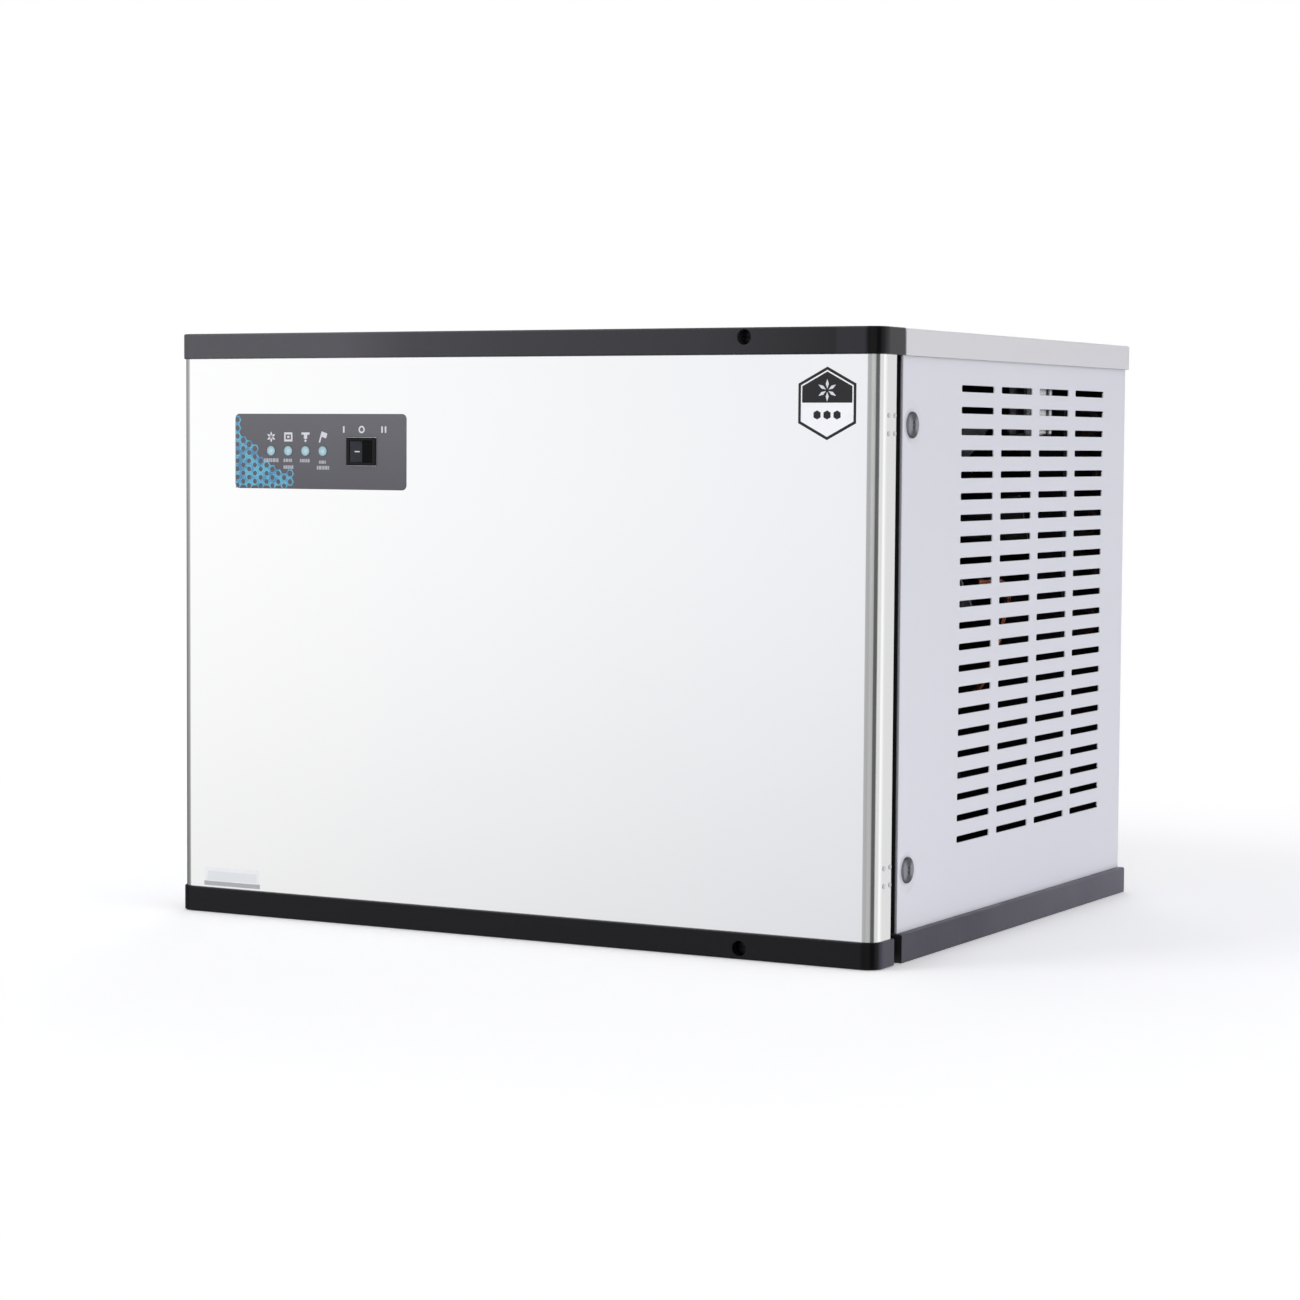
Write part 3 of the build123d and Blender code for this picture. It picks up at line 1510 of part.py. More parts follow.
def filter_drier():
    body = rod_z(drier_radius, drier_x, drier_y, (drier_bottom, drier_top))
    body = fillet(body.edges().filter_by(GeomType.CIRCLE), drier_radius / 2)
    return body + rod_z(coil_radius, drier_x, drier_y, (drier_bottom - drier_neck, drier_top + drier_neck))


def expansion_valve():
    half = expansion_valve_size / 2
    x, z = expansion_valve_x, coil_bottom
    body = block(around(x, 2 * half), around(coil_y, 2 * half), around(z, 2 * half))
    body += rod_z(expansion_head_radius, x, coil_y, (z + half, z + half + expansion_head_height))
    body += rod_z(coil_radius, x, coil_y, (z - half - expansion_stub, z - half))
    return body + rod_x(coil_radius, (coil_lead_end, x - half), coil_y, z)


def hot_gas_valve():
    """A saddle valve on the discharge run with its line down to the expansion valve block."""
    y = discharge_stub()[1]
    half = gas_valve_size / 2
    body = block(around(expansion_valve_x, 2 * half), around(y, 2 * half), around(discharge_level, 2 * half))
    coil_end = y - half - gas_valve_coil_height
    body += rod_y(gas_valve_coil_radius, expansion_valve_x, (coil_end, y - half), discharge_level)
    stub_end = discharge_level - half - gas_valve_stub
    body += rod_z(coil_radius, expansion_valve_x, y, (stub_end, discharge_level - half))
    along = (expansion_valve_x - half - overrun, expansion_valve_x + half + overrun)
    body -= rod_x(coil_radius + running_gap, along, y, discharge_level)
    points = [
        (expansion_valve_x, y, stub_end),
        (expansion_valve_x, y, coil_bottom),
        (expansion_valve_x, coil_y - expansion_valve_size / 2, coil_bottom),
    ]
    return [body, pipe(points, line_bend, coil_radius, coil_wall)]


# Control box at the front of the machinery, with its board
def control_box():
    shell = block((partition_right, box_right), (box_front, box_back), (box_bottom, box_top))
    shell -= block(
        (partition_right + sheet, box_right - sheet),
        (box_front - overrun, box_back - sheet),
        (box_bottom + sheet, box_top - sheet),
    )
    board_x, board_z = box_board_spans()
    reach = (box_back - sheet - board_standoff, box_back - sheet)
    for x in (board_x[0] + standoff_inset, board_x[1] - standoff_inset):
        for z in (board_z[0] + standoff_inset, board_z[1] - standoff_inset):
            shell += rod_y(standoff_radius, x, reach, z)
    return shell


def box_board_spans():
    return (
        (partition_right + board_side_margin, box_right - board_side_margin),
        (box_bottom + board_end_margin, box_top - board_end_margin),
    )


def control_box_cover():
    return block((partition_right, box_right), (box_front - sheet, box_front), (box_bottom, box_top))


def circuit_board():
    """The main board with its relays, transformer and run capacitor."""
    board_x, board_z = box_board_spans()
    board_back = box_back - sheet - board_standoff
    face = board_back - board_thickness
    board = block(board_x, (face, board_back), board_z)
    for i in range(relay_count):
        relay_x = board_x[0] + relay_pitch * (i + 1 / 2)
        relay_z = board_z[0] + relay_size
        board += block(around(relay_x, relay_size), (face - relay_height, face), around(relay_z, relay_size))
    corner_x = board_x[1] - transformer_size
    corner_z = board_z[1] - transformer_size
    transformer_y = (face - transformer_size, face)
    board += block(around(corner_x, transformer_size), transformer_y, around(corner_z, transformer_size))
    return board + rod_x(
        capacitor_radius,
        (board_x[0] + capacitor_radius, board_x[0] + capacitor_radius + capacitor_length),
        face - capacitor_radius + running_gap,
        corner_z,
    )


def power_gland():
    """A cable gland through the back panel, with its locknut inside."""
    x, z = gland_x, gland_height
    body = rod_y(gland_radius, x, (back_outer, back_outer + gland_proud), z)
    body += rod_y(gland_neck_radius, x, (back_inner - 2 * gland_nut_height, back_outer), z)
    body -= rod_y(gland_bore, x, (back_inner - 2 * gland_nut_height - overrun, half_depth), z)
    nut = rod_y(gland_radius, x, (back_inner - gland_nut_height, back_inner), z)
    nut -= rod_y(gland_neck_radius, x, (back_inner - gland_nut_height - overrun, back_inner + overrun), z)
    return [body, nut]


nodes = [
    front_panel_skin,
    front_panel_top_trim,
    front_panel_bottom_trim,
    front_panel_backing,
    front_panel_screws,
    front_panel_rivets,
    door_hinge_leaves,
    control_overlay,
    led_lenses,
    rocker_switch_body,
    switch_rocker,
    led_board,
    control_housing,
    cabinet_hinge_leaves,
    side_panel_fasteners,
    base,
    left_side_panel,
    right_side_panel,
    top_cover,
    back_panel,
    rear_screws,
    front_posts,
    top_front_rail,
    bottom_front_rail,
    centre_partition,
    ice_chamber_liner,
    chamber_insulation,
    chamber_cover,
    evaporator_plate,
    evaporator_coil,
    evaporator_frame,
    water_distribution_tube,
    water_curtain,
    thickness_probe_arm,
    water_trough,
    pump_motor,
    pump_housing,
    pump_impeller,
    pump_hose,
    float_stem,
    water_float,
    water_inlet_valve,
    fill_tube,
    drain_valve,
    drain_outlet_pipe,
    compressor,
    compressor_grommets,
    condenser_fins,
    condenser_tube,
    fan_shroud,
    fan_motor,
    fan_blade,
    refrigerant_lines,
    filter_drier,
    expansion_valve,
    hot_gas_valve,
    control_box,
    control_box_cover,
    circuit_board,
    power_gland,
]

os.makedirs("parts", exist_ok=True)
for node in nodes:
    made = node()
    solids = made if isinstance(made, list) else [made]
    shape = solids[0] if len(solids) == 1 else Compound(children=solids)
    export_step(shape, f"parts/{node.__name__}.step")
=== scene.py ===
"""Looks of the ice maker head, finished piece by piece in the order in which the machine is put together."""

import math

import bpy
import numpy as np
from mathutils import Matrix, Vector


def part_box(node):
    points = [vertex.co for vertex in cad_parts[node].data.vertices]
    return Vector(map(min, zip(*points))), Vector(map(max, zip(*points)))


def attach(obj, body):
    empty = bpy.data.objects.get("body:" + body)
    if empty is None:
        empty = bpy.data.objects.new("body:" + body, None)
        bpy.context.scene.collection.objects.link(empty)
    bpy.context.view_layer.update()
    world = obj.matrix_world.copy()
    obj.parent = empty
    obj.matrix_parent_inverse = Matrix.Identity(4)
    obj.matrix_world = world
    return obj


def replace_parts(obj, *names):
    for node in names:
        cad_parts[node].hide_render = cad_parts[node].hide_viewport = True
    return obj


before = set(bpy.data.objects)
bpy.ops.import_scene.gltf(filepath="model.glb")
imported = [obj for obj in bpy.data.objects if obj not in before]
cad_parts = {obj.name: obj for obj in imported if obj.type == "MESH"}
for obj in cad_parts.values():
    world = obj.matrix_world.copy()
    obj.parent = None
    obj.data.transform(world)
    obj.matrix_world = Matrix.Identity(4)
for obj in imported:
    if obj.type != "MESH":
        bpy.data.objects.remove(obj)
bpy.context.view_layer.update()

# Camera
# A long lens about three metres out, a little under the height of the top, turned so that the steel front
# and the slotted right side both show.
eye = Vector((1.6019, -2.9721, 0.4644))
yaw, pitch, roll = (math.radians(angle) for angle in (28.594, 3.532, 0.388))
ahead = Vector((-math.sin(yaw) * math.cos(pitch), math.cos(yaw) * math.cos(pitch), -math.sin(pitch)))
level_right = ahead.cross(Vector((0, 0, 1))).normalized()
level_up = level_right.cross(ahead)
camera_right = level_right * math.cos(roll) + level_up * math.sin(roll)
camera_up = level_up * math.cos(roll) - level_right * math.sin(roll)
lens = bpy.data.cameras.new("studio_camera")
lens.lens = 92.07
lens.sensor_width = 36.0
camera = bpy.data.objects.new("studio_camera", lens)
turned = Matrix((camera_right, camera_up, -ahead)).transposed()
camera.matrix_world = Matrix.Translation(eye) @ turned.to_4x4()
bpy.context.scene.collection.objects.link(camera)
bpy.context.scene.camera = camera
bpy.context.scene.view_settings.view_transform = "Standard"


# Floor
# A plain white sweep of board that the machine stands on. It is one flat grid, and it keeps the shadow.
def tone(red, green, blue):
    """A colour written as 0 to 255 screen values, turned into the linear colour that shaders take."""
    screen = np.array((red, green, blue)) / 255
    linear = np.where(screen <= 0.04045, screen / 12.92, ((screen + 0.055) / 1.055) ** 2.4)
    return (*(float(part) for part in linear), 1.0)


def fill(tree, node, values):
    """Joins outputs to a node's inputs, or sets these to plain values, by name or number."""
    for key, value in values.items():
        if isinstance(value, bpy.types.NodeSocket):
            tree.links.new(value, node.inputs[key])
        else:
            node.inputs[key].default_value = value


def put(tree, kind, inputs=None, **settings):
    """Adds one shader node, sets its properties, then joins or sets its inputs."""
    made = tree.nodes.new(kind)
    for key, value in settings.items():
        setattr(made, key, value)
    fill(tree, made, inputs or {})
    return made


def maths(tree, operation, *values):
    """The result of an operation on numbers."""
    return put(tree, "ShaderNodeMath", dict(enumerate(values)), operation=operation).outputs[0]


def vectors(tree, operation, *values):
    """The result of an operation on vectors, a number where that is what it gives."""
    made = put(tree, "ShaderNodeVectorMath", dict(enumerate(values)), operation=operation)
    return made.outputs["Value" if operation in ("LENGTH", "DISTANCE", "DOT_PRODUCT") else "Vector"]


def scaled(tree, value, low=0.0, high=1.0, start=0.3, end=0.7):
    """A number that runs from low to high as a value runs from start to end."""
    return put(tree, "ShaderNodeMapRange", {0: value, 1: start, 2: end, 3: low, 4: high}).outputs[0]


def between(tree, share, first, second):
    """The blend of two colours, or sockets of colour, by a share."""
    return put(tree, "ShaderNodeMix", {0: share, 6: first, 7: second}, data_type="RGBA").outputs[2]


def object_place(tree):
    """Where a surface point is on its object."""
    return put(tree, "ShaderNodeTexCoord").outputs["Object"]


def noise(tree, place, scale, detail, roughness=0.5):
    """Clouded noise, with about so many clouds a metre as its scale."""
    inputs = {"Vector": place, "Scale": scale, "Detail": detail, "Roughness": roughness}
    return put(tree, "ShaderNodeTexNoise", inputs).outputs


def new_finish(name):
    """A fresh material with its node tree and its one Principled shader."""
    finish = bpy.data.materials.new(name)
    finish.use_nodes = True
    return finish, finish.node_tree, finish.node_tree.nodes["Principled BSDF"]


def mesh_piece(name, points, faces, finish, smooth=False):
    """A mesh object at the origin from arrays of points and faces, with one finish."""
    mesh = bpy.data.meshes.new(name)
    mesh.from_pydata(np.asarray(points, float).tolist(), [], [list(map(int, face)) for face in faces])
    mesh.materials.append(finish)
    mesh.polygons.foreach_set("use_smooth", [smooth] * len(mesh.polygons))
    mesh.update()
    piece = bpy.data.objects.new(name, mesh)
    bpy.context.scene.collection.objects.link(piece)
    return piece


def grid_faces(rows, columns):
    """Quads of a grid numbered row by row, each going round its four neighbours anticlockwise."""
    corner = (np.arange(rows - 1)[:, None] * columns + np.arange(columns - 1)).ravel()
    return np.stack((corner, corner + 1, corner + columns + 1, corner + columns), axis=1)


white = (1.0, 1.0, 1.0, 1.0)
floor_reach, floor_level = 9.0, -0.0004
floor_finish, tree, shader = new_finish("floor_board")
camera_ray = put(tree, "ShaderNodeLightPath").outputs["Is Camera Ray"]
floor_place = object_place(tree)
tooth = noise(tree, floor_place, 140.0, 3.0)["Fac"]
mottled = between(tree, tooth, tone(249, 249, 250), tone(254, 254, 254))
fill(tree, shader, {"Base Color": mottled, "Roughness": 0.9, "Specular IOR Level": 0.0})
own_light = maths(tree, "MULTIPLY", camera_ray, 0.17)
fill(tree, shader, {"Emission Color": white, "Emission Strength": own_light})
far_share = scaled(tree, vectors(tree, "LENGTH", floor_place), start=0.75, end=1.5)
far_seen = maths(tree, "MULTIPLY", far_share, camera_ray)
paper = put(tree, "ShaderNodeEmission", {0: white, 1: 1.0})
sweep = put(tree, "ShaderNodeMixShader", {0: far_seen, 1: shader.outputs[0], 2: paper.outputs[0]})
fill(tree, tree.nodes["Material Output"], {0: sweep.outputs[0]})
across = np.linspace(-floor_reach, floor_reach, 7)
floor_x, floor_y = np.meshgrid(across, across)
floor_points = np.stack((floor_x, floor_y, np.full_like(floor_x, floor_level)), axis=-1).reshape(-1, 3)
floor = mesh_piece("floor", floor_points, grid_faces(7, 7), floor_finish)
floor.visible_glossy = False


# Room light
# White paper all round: the camera and glass see plain white, polished steel sees it fall off a little
# towards the ground, and matt surfaces get it at a plain level together with four soft lamps.
def parts_of(tree, vector):
    """The X, Y and Z of a vector."""
    return put(tree, "ShaderNodeSeparateXYZ", {0: vector}).outputs


def colour_ramp(tree, share, stops):
    """A colour that runs evenly from each stop of (share, colour) to the next, with the shares rising."""
    ramp = put(tree, "ShaderNodeValToRGB", {0: share})
    held = ramp.color_ramp.elements
    for i, (place, shade) in enumerate(stops):
        stop = held[i] if i < 2 else held.new(place)
        stop.position, stop.color = place, shade
    return ramp.outputs[0]


room = bpy.data.worlds.new("studio_room")
bpy.context.scene.world = room
room.use_nodes = True
tree = room.node_tree
rays = put(tree, "ShaderNodeLightPath").outputs
direction = parts_of(tree, put(tree, "ShaderNodeTexCoord").outputs["Generated"])
room_levels = ((0.36, 204), (0.425, 237), (0.46, 249), (0.49, 255), (0.75, 252))
rises = [(rise, tone(level, level, level + 0.5)) for rise, level in room_levels]
rises = [(0.0, tone(150, 150, 152)), *rises, (1.0, tone(246, 247, 250))]
fall = colour_ramp(tree, scaled(tree, direction["Z"], start=-1.0, end=1.0), rises)
slant = scaled(tree, direction["X"], start=-0.6, end=-0.40)
cast = between(tree, slant, (1.03, 1.03, 1.02, 1.0), (0.865, 0.875, 0.905, 1.0))
walls = put(tree, "ShaderNodeMix", {0: 1.0, 6: fall, 7: cast}, data_type="RGBA", blend_type="MULTIPLY")
matt = put(tree, "ShaderNodeBackground", {0: tone(242, 242, 246), 1: 0.71}).outputs[0]
seen = put(tree, "ShaderNodeBackground", {0: white, 1: 1.0}).outputs[0]
mirrored = put(tree, "ShaderNodeBackground", {0: walls.outputs[2], 1: 1.0}).outputs[0]
by_gloss = put(tree, "ShaderNodeMixShader", {0: rays["Is Glossy Ray"], 1: matt, 2: mirrored}).outputs[0]
straight = maths(tree, "MAXIMUM", rays["Is Camera Ray"], rays["Is Transmission Ray"])
whole = put(tree, "ShaderNodeMixShader", {0: straight, 1: by_gloss, 2: seen})
fill(tree, tree.nodes["World Output"], {0: whole.outputs[0]})


def soft_lamp(name, place, towards, size, level):
    """A square lamp turned to a point, its power set from the light level that it adds there."""
    light = bpy.data.lights.new(name, "AREA")
    light.shape, light.size = "SQUARE", size
    reach = Vector(towards) - Vector(place)
    light.energy = level * math.pi**2 * reach.length_squared
    lamp = bpy.data.objects.new(name, light)
    lamp.rotation_mode = "QUATERNION"
    lamp.location = place
    lamp.rotation_quaternion = reach.to_track_quat("-Z", "Y")
    lamp.visible_camera = False
    bpy.context.scene.collection.objects.link(lamp)


soft_lamp("key_lamp", (-2.6, -3.2, 3.6), (0.0, 0.0, 0.3), 2.4, 0.20)
soft_lamp("side_lamp", (4.2, -0.9, 0.45), (0.3, 0.0, 0.25), 1.6, 0.22)
soft_lamp("camera_side_lamp", (1.5, -3.4, 0.9), (0.3, 0.2, 0.4), 0.7, 0.10)
soft_lamp("rear_lamp", (-1.5, 3.8, 3.0), (0.0, 0.0, 0.3), 2.4, 0.16)


# Reflection cards
# Tall bent cards beside the two front corners, as a photographer sets them to draw dark lines down polished
# steel. Only reflections see them.
def reflection_card(name, side, turns, levels, foot=1.0):
    """A wall bent about a corner: place = middle + reach * (sin turn, -cos turn), standing from low to high.

    The grey at each turn is blended between the given levels, and the whole fades to the foot's share below.
    """
    middle, reach = (side * 0.3658, -0.2948), 0.5
    finish, tree, shader = new_finish(name)
    parts = parts_of(tree, vectors(tree, "SUBTRACT", object_place(tree), (*middle, 0.0)))
    turn = maths(tree, "ARCTAN2", parts["X"], maths(tree, "MULTIPLY", parts["Y"], -1.0))
    share = scaled(tree, turn, 0.0, 1.0, *(math.radians(angle) for angle in turns))
    spread = turns[1] - turns[0]
    greys = [((angle - turns[0]) / spread, tone(*[level] * 3)) for angle, level in levels]
    height = scaled(tree, parts["Z"], foot, 1.0, -0.05, 0.5)
    light = put(tree, "ShaderNodeEmission", {0: colour_ramp(tree, share, greys), 1: height})
    fill(tree, tree.nodes["Material Output"], {0: light.outputs[0]})
    tree.nodes.remove(shader)
    wall_turn, wall_z = np.meshgrid(np.radians(np.linspace(*turns, 61)), np.linspace(-0.7, 1.5, 3))
    wall_x, wall_y = middle[0] + reach * np.sin(wall_turn), middle[1] - reach * np.cos(wall_turn)
    wall = np.stack((wall_x, wall_y, wall_z), axis=-1).reshape(-1, 3)
    card = mesh_piece(name, wall, grid_faces(3, 61), finish)
    card.visible_camera = card.visible_diffuse = card.visible_shadow = card.visible_transmission = False


right_levels = [(-22, 240), (-19, 180), (0, 168), (14, 182), (38, 174), (43, 94), (69, 84)]
right_levels += [(75, 212), (100, 218), (108, 252), (126, 252), (140, 232), (165, 216)]
reflection_card("right_card", 1, (-22, 165), right_levels)
left_levels = [(-150, 110), (-125, 128), (-104, 146), (-84, 168), (-66, 176), (-52, 250)]
reflection_card("left_card", -1, (-150, -52), left_levels, foot=0.55)


# Shared surface effects
# Grain, rubbed edges and settled dust turn up on most finishes of the machine, plastic or metal. Each is
# therefore one node group, which the finishes build on.
def new_group(name, inputs, outputs):
    """An empty shader node group with named number or vector sockets, its inputs and its end node."""
    group = bpy.data.node_groups.new(name, "ShaderNodeTree")
    for label, kind, value in inputs:
        group.interface.new_socket(name=label, in_out="INPUT", socket_type=kind).default_value = value
    for label, kind in outputs:
        group.interface.new_socket(name=label, in_out="OUTPUT", socket_type=kind)
    return group, put(group, "NodeGroupInput").outputs, put(group, "NodeGroupOutput")


def way_faced(tree):
    """The way that a surface point faces."""
    return put(tree, "ShaderNodeNewGeometry").outputs["Normal"]


surface_grain, given, end = new_group(
    "surface_grain",
    [("Scale", "NodeSocketFloat", 900.0), ("Stretch", "NodeSocketVector", (1.0, 1.0, 1.0))],
    [("Fine", "NodeSocketFloat"), ("Broad", "NodeSocketFloat")],
)
place = object_place(surface_grain)
fine = noise(surface_grain, vectors(surface_grain, "MULTIPLY", place, given["Stretch"]), given["Scale"], 2.0)
broad = noise(surface_grain, place, 6.5, 5.0, 0.62)
fill(surface_grain, end, {"Fine": fine["Fac"], "Broad": broad["Fac"]})

edge_rub, given, end = new_group(
    "edge_rub",
    [("Width", "NodeSocketFloat", 0.0008)],
    [("Mask", "NodeSocketFloat"), ("Normal", "NodeSocketVector")],
)
rounded = put(edge_rub, "ShaderNodeBevel", {"Radius": given["Width"]}, samples=4).outputs[0]
agree = vectors(edge_rub, "DOT_PRODUCT", rounded, way_faced(edge_rub))
near_edge = scaled(edge_rub, agree, start=0.995, end=0.86)
patches = noise(edge_rub, object_place(edge_rub), 45.0, 4.0)["Fac"]
rubbed = maths(edge_rub, "MULTIPLY", near_edge, scaled(edge_rub, patches, start=0.38, end=0.62))
fill(edge_rub, end, {"Mask": rubbed, "Normal": rounded})

settled_dust, given, end = new_group("settled_dust", [], [("Mask", "NodeSocketFloat")])
lying = scaled(settled_dust, parts_of(settled_dust, way_faced(settled_dust))["Z"], start=0.45, end=0.95)
drifts = noise(settled_dust, object_place(settled_dust), 18.0, 7.0)["Fac"]
drift = scaled(settled_dust, drifts, start=0.35, end=0.75)
fill(settled_dust, end, {"Mask": maths(settled_dust, "MULTIPLY", lying, drift)})


# Base
# One foamed plastic slab, dark grey with a cool cast, moulded with the ice drop opening through it. The
# cabinet is screwed down into it. Its grey pales towards the back as painted light, and its front face is
# black as painted shade.
def effect(tree, group, inputs=None):
    """Places a shared effect in a material and returns its outputs."""
    return put(tree, "ShaderNodeGroup", inputs, node_tree=group).outputs


def lighter(shade, factor):
    """The same linear colour times a factor, no part above one."""
    return (*(min(part * factor, 1.0) for part in shade[:3]), 1.0)


def surface(name, shade, rough, grain, depth, stretch=(1.0, 1.0, 1.0), rub=0.3, dust=0.25, patch=0.1):
    """A material with patchy colour, uneven gloss, fine relief, rubbed edges and a little dust.

    Its tree, shader, body colour and relief node come with it, so that a finish can build on them.
    """
    finish, tree, shader = new_finish(name)
    grains = effect(tree, surface_grain, {"Scale": grain, "Stretch": stretch})
    edge = effect(tree, edge_rub, {"Width": 0.0007})
    body = between(tree, grains["Broad"], lighter(shade, 1 - patch), lighter(shade, 1 + patch))
    body = between(tree, maths(tree, "MULTIPLY", edge["Mask"], rub), body, lighter(shade, 1.9))
    film = maths(tree, "MULTIPLY", effect(tree, settled_dust)["Mask"], dust)
    body = between(tree, film, body, tone(176, 172, 166))
    gloss = scaled(tree, grains["Broad"], rough * 0.86, min(rough * 1.16, 1.0))
    raised = {"Strength": 0.5, "Distance": depth, "Height": grains["Fine"], "Normal": edge["Normal"]}
    relief = put(tree, "ShaderNodeBump", raised)
    fill(tree, shader, {"Base Color": body, "Roughness": gloss, "Normal": relief.outputs[0]})
    return finish, tree, shader, body, relief


def axis_share(tree, axis, start, end, most=1.0):
    """A number that runs from nothing to most between two places on an axis of the object."""
    return scaled(tree, parts_of(tree, object_place(tree))[axis], 0.0, most, start, end)


def base_finish(name):
    """Foamed plastic: paler from front to back along y as painted light; forward faces black as painted
    shade.
    """
    cool_grey = tone(56, 53, 68)
    finish, tree, shader, body, _ = surface(name, cool_grey, 0.5, 1100.0, 0.00008, rub=0.25, patch=0.08)
    # Painted light: the grey pales from front to back.
    painted_light_to_back = between(tree, axis_share(tree, "Y", -0.08, 0.31), body, tone(88, 86, 99))
    # Painted shade: faces that look forward turn black.
    painted_shade_front = scaled(tree, parts_of(tree, way_faced(tree))["Y"], 1.0, 0.0, -0.95, -0.6)
    fill(tree, shader, {"Base Color": between(tree, painted_shade_front, painted_light_to_back, tone(9, 9, 12))})
    return finish


def dress(finish, *names):
    """Puts a finish on CAD nodes."""
    for name in names:
        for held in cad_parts[name].material_slots:
            held.material = finish


dress(base_finish("base_plastic"), "base")


# Front posts and rails
# Folded steel channels in black, a painted shade for the gaps round the front panel. The front panel's lock
# screws enter the two rails.
def moulded(name, shade, rough=0.45, grain=1400.0, depth=0.00006, **more):
    """A moulded plastic: coloured through, with a fine spark-eroded texture."""
    return surface(name, shade, rough, grain, depth, **more)[0]


# Painted shade: the posts and rails are black for the gaps round the front panel.
black_frame = moulded("black_frame", tone(26, 26, 28), rough=0.42, grain=2200.0, depth=0.00003, rub=0.5)
dress(black_frame, "front_posts", "top_front_rail", "bottom_front_rail")


# Galvanised sheet
# The partition, the fan shroud's and the condenser's plates and the control box are hot dip galvanised, with
# crystals of zinc that show as patches of slightly different grey. The fan shroud, the condenser's plates and
# the control box are far darker as painted shade.
def galvanised_finish(name, shade):
    """Zinc coated steel: each crystal is one cell of a bent cell texture, with its own grey and gloss."""
    finish, tree, shader, body, _ = surface(name, shade, 0.4, 500.0, 0.00002, rub=0.2, patch=0.05)
    place = object_place(tree)
    bend = vectors(tree, "MULTIPLY", noise(tree, place, 60.0, 2.0)["Color"], (0.006, 0.006, 0.006))
    cells = put(tree, "ShaderNodeTexVoronoi", {"Vector": vectors(tree, "ADD", place, bend), "Scale": 120.0})
    chance = put(tree, "ShaderNodeSeparateColor", {0: cells.outputs["Color"]}).outputs[0]
    shaded = between(tree, scaled(tree, chance, 0.0, 0.3, 0.0, 1.0), body, lighter(shade, 0.6))
    gloss = shader.inputs["Roughness"].links[0].from_node
    fill(tree, gloss, {0: chance, 1: 0.0, 2: 1.0, 3: 0.28, 4: 0.5})
    fill(tree, shader, {"Base Color": shaded, "Metallic": 1.0})
    return finish


galvanised = galvanised_finish("galvanised_sheet", tone(190, 193, 197))
dress(galvanised, "centre_partition", "control_box_cover")
# Painted shade: the fan shroud, the condenser's end plates and the control box get a far darker zinc.
painted_shade_zinc = galvanised_finish("painted_shade_zinc", tone(80, 82, 86))
dress(painted_shade_zinc, "fan_shroud", "control_box")

# Ice chamber
# A white moulded liner set in foam, closed at the front by a thick foam-filled cover with a satin face. A
# bead stiffens the cover, and four thumb knobs hold it.
pale_liner = tone(224, 227, 229)
liner_plastic = moulded("liner_plastic", pale_liner, 0.32, 1600.0, 0.00002, rub=0.1, patch=0.03)
dress(liner_plastic, "ice_chamber_liner", "chamber_cover")


def ring_faces(rings, sides):
    """Quads between closed rings of points, each going round anticlockwise where the rings do."""
    ring, side = np.meshgrid(np.arange(rings - 1), np.arange(sides), indexing="ij")
    start, following = ring * sides + side, ring * sides + (side + 1) % sides
    return np.stack((start, following, following + sides, start + sides), axis=-1).reshape(-1, 4)


def loop_bead(name, x, z, corner, y, toward, profile, finish):
    """A bead round a rounded rectangle: each profile point (out, rise) is the same path, wider by out.

    Its rise is taken from y, towards the front where toward is -1 and towards the back where it is 1.
    """
    quarter = np.radians(np.linspace(0, 90, 7))
    turn = np.concatenate([quarter + math.radians(start) for start in (0, 90, 180, 270)])
    side_x = np.repeat((1, -1, -1, 1), 7) * ((x[1] - x[0]) / 2 - corner)
    side_z = np.repeat((1, 1, -1, -1), 7) * ((z[1] - z[0]) / 2 - corner)
    out, rise = (np.array(part)[:, None] for part in zip(*profile))
    points_x = sum(x) / 2 + side_x + (corner + out) * np.cos(turn)
    points_z = sum(z) / 2 + side_z + (corner + out) * np.sin(turn)
    points = np.stack((points_x, np.broadcast_to(y + toward * rise, points_x.shape), points_z), axis=-1)
    faces = ring_faces(len(profile), len(turn))
    faces = faces if toward < 0 else faces[:, ::-1]
    return mesh_piece(name, points.reshape(-1, 3), faces, finish, smooth=True)


def turned_shapes(name, places, outward, profile, finish, sides=20, seated=True):
    """Turned heads or cans: (radius, rise) pairs go round the outward direction, from a place to an end face.

    A seated shape is open where it sits on its sheet, and any other is closed at its foot as well.
    """
    outward = np.array(outward, float)
    across = np.array((0.0, 1.0, 0.0)) if outward[2] else np.array((0.0, 0.0, 1.0))
    turn = np.radians(np.arange(sides) * 360 / sides)[:, None]
    spokes = np.cos(turn) * np.cross(across, outward) + np.sin(turn) * across
    radius, rise = (np.array(part)[:, None, None] for part in zip(*profile))
    one = (radius * spokes + rise * outward).reshape(-1, 3)
    points = (np.array(places)[:, None, :] + one).reshape(-1, 3)
    foot = [] if seated else [np.arange(sides)[::-1]]
    one_faces = [*ring_faces(len(profile), sides), *foot, np.arange(len(one) - sides, len(one))]
    faces = [face + i * len(one) for i in range(len(places)) for face in one_faces]
    return mesh_piece(name, points, faces, finish)


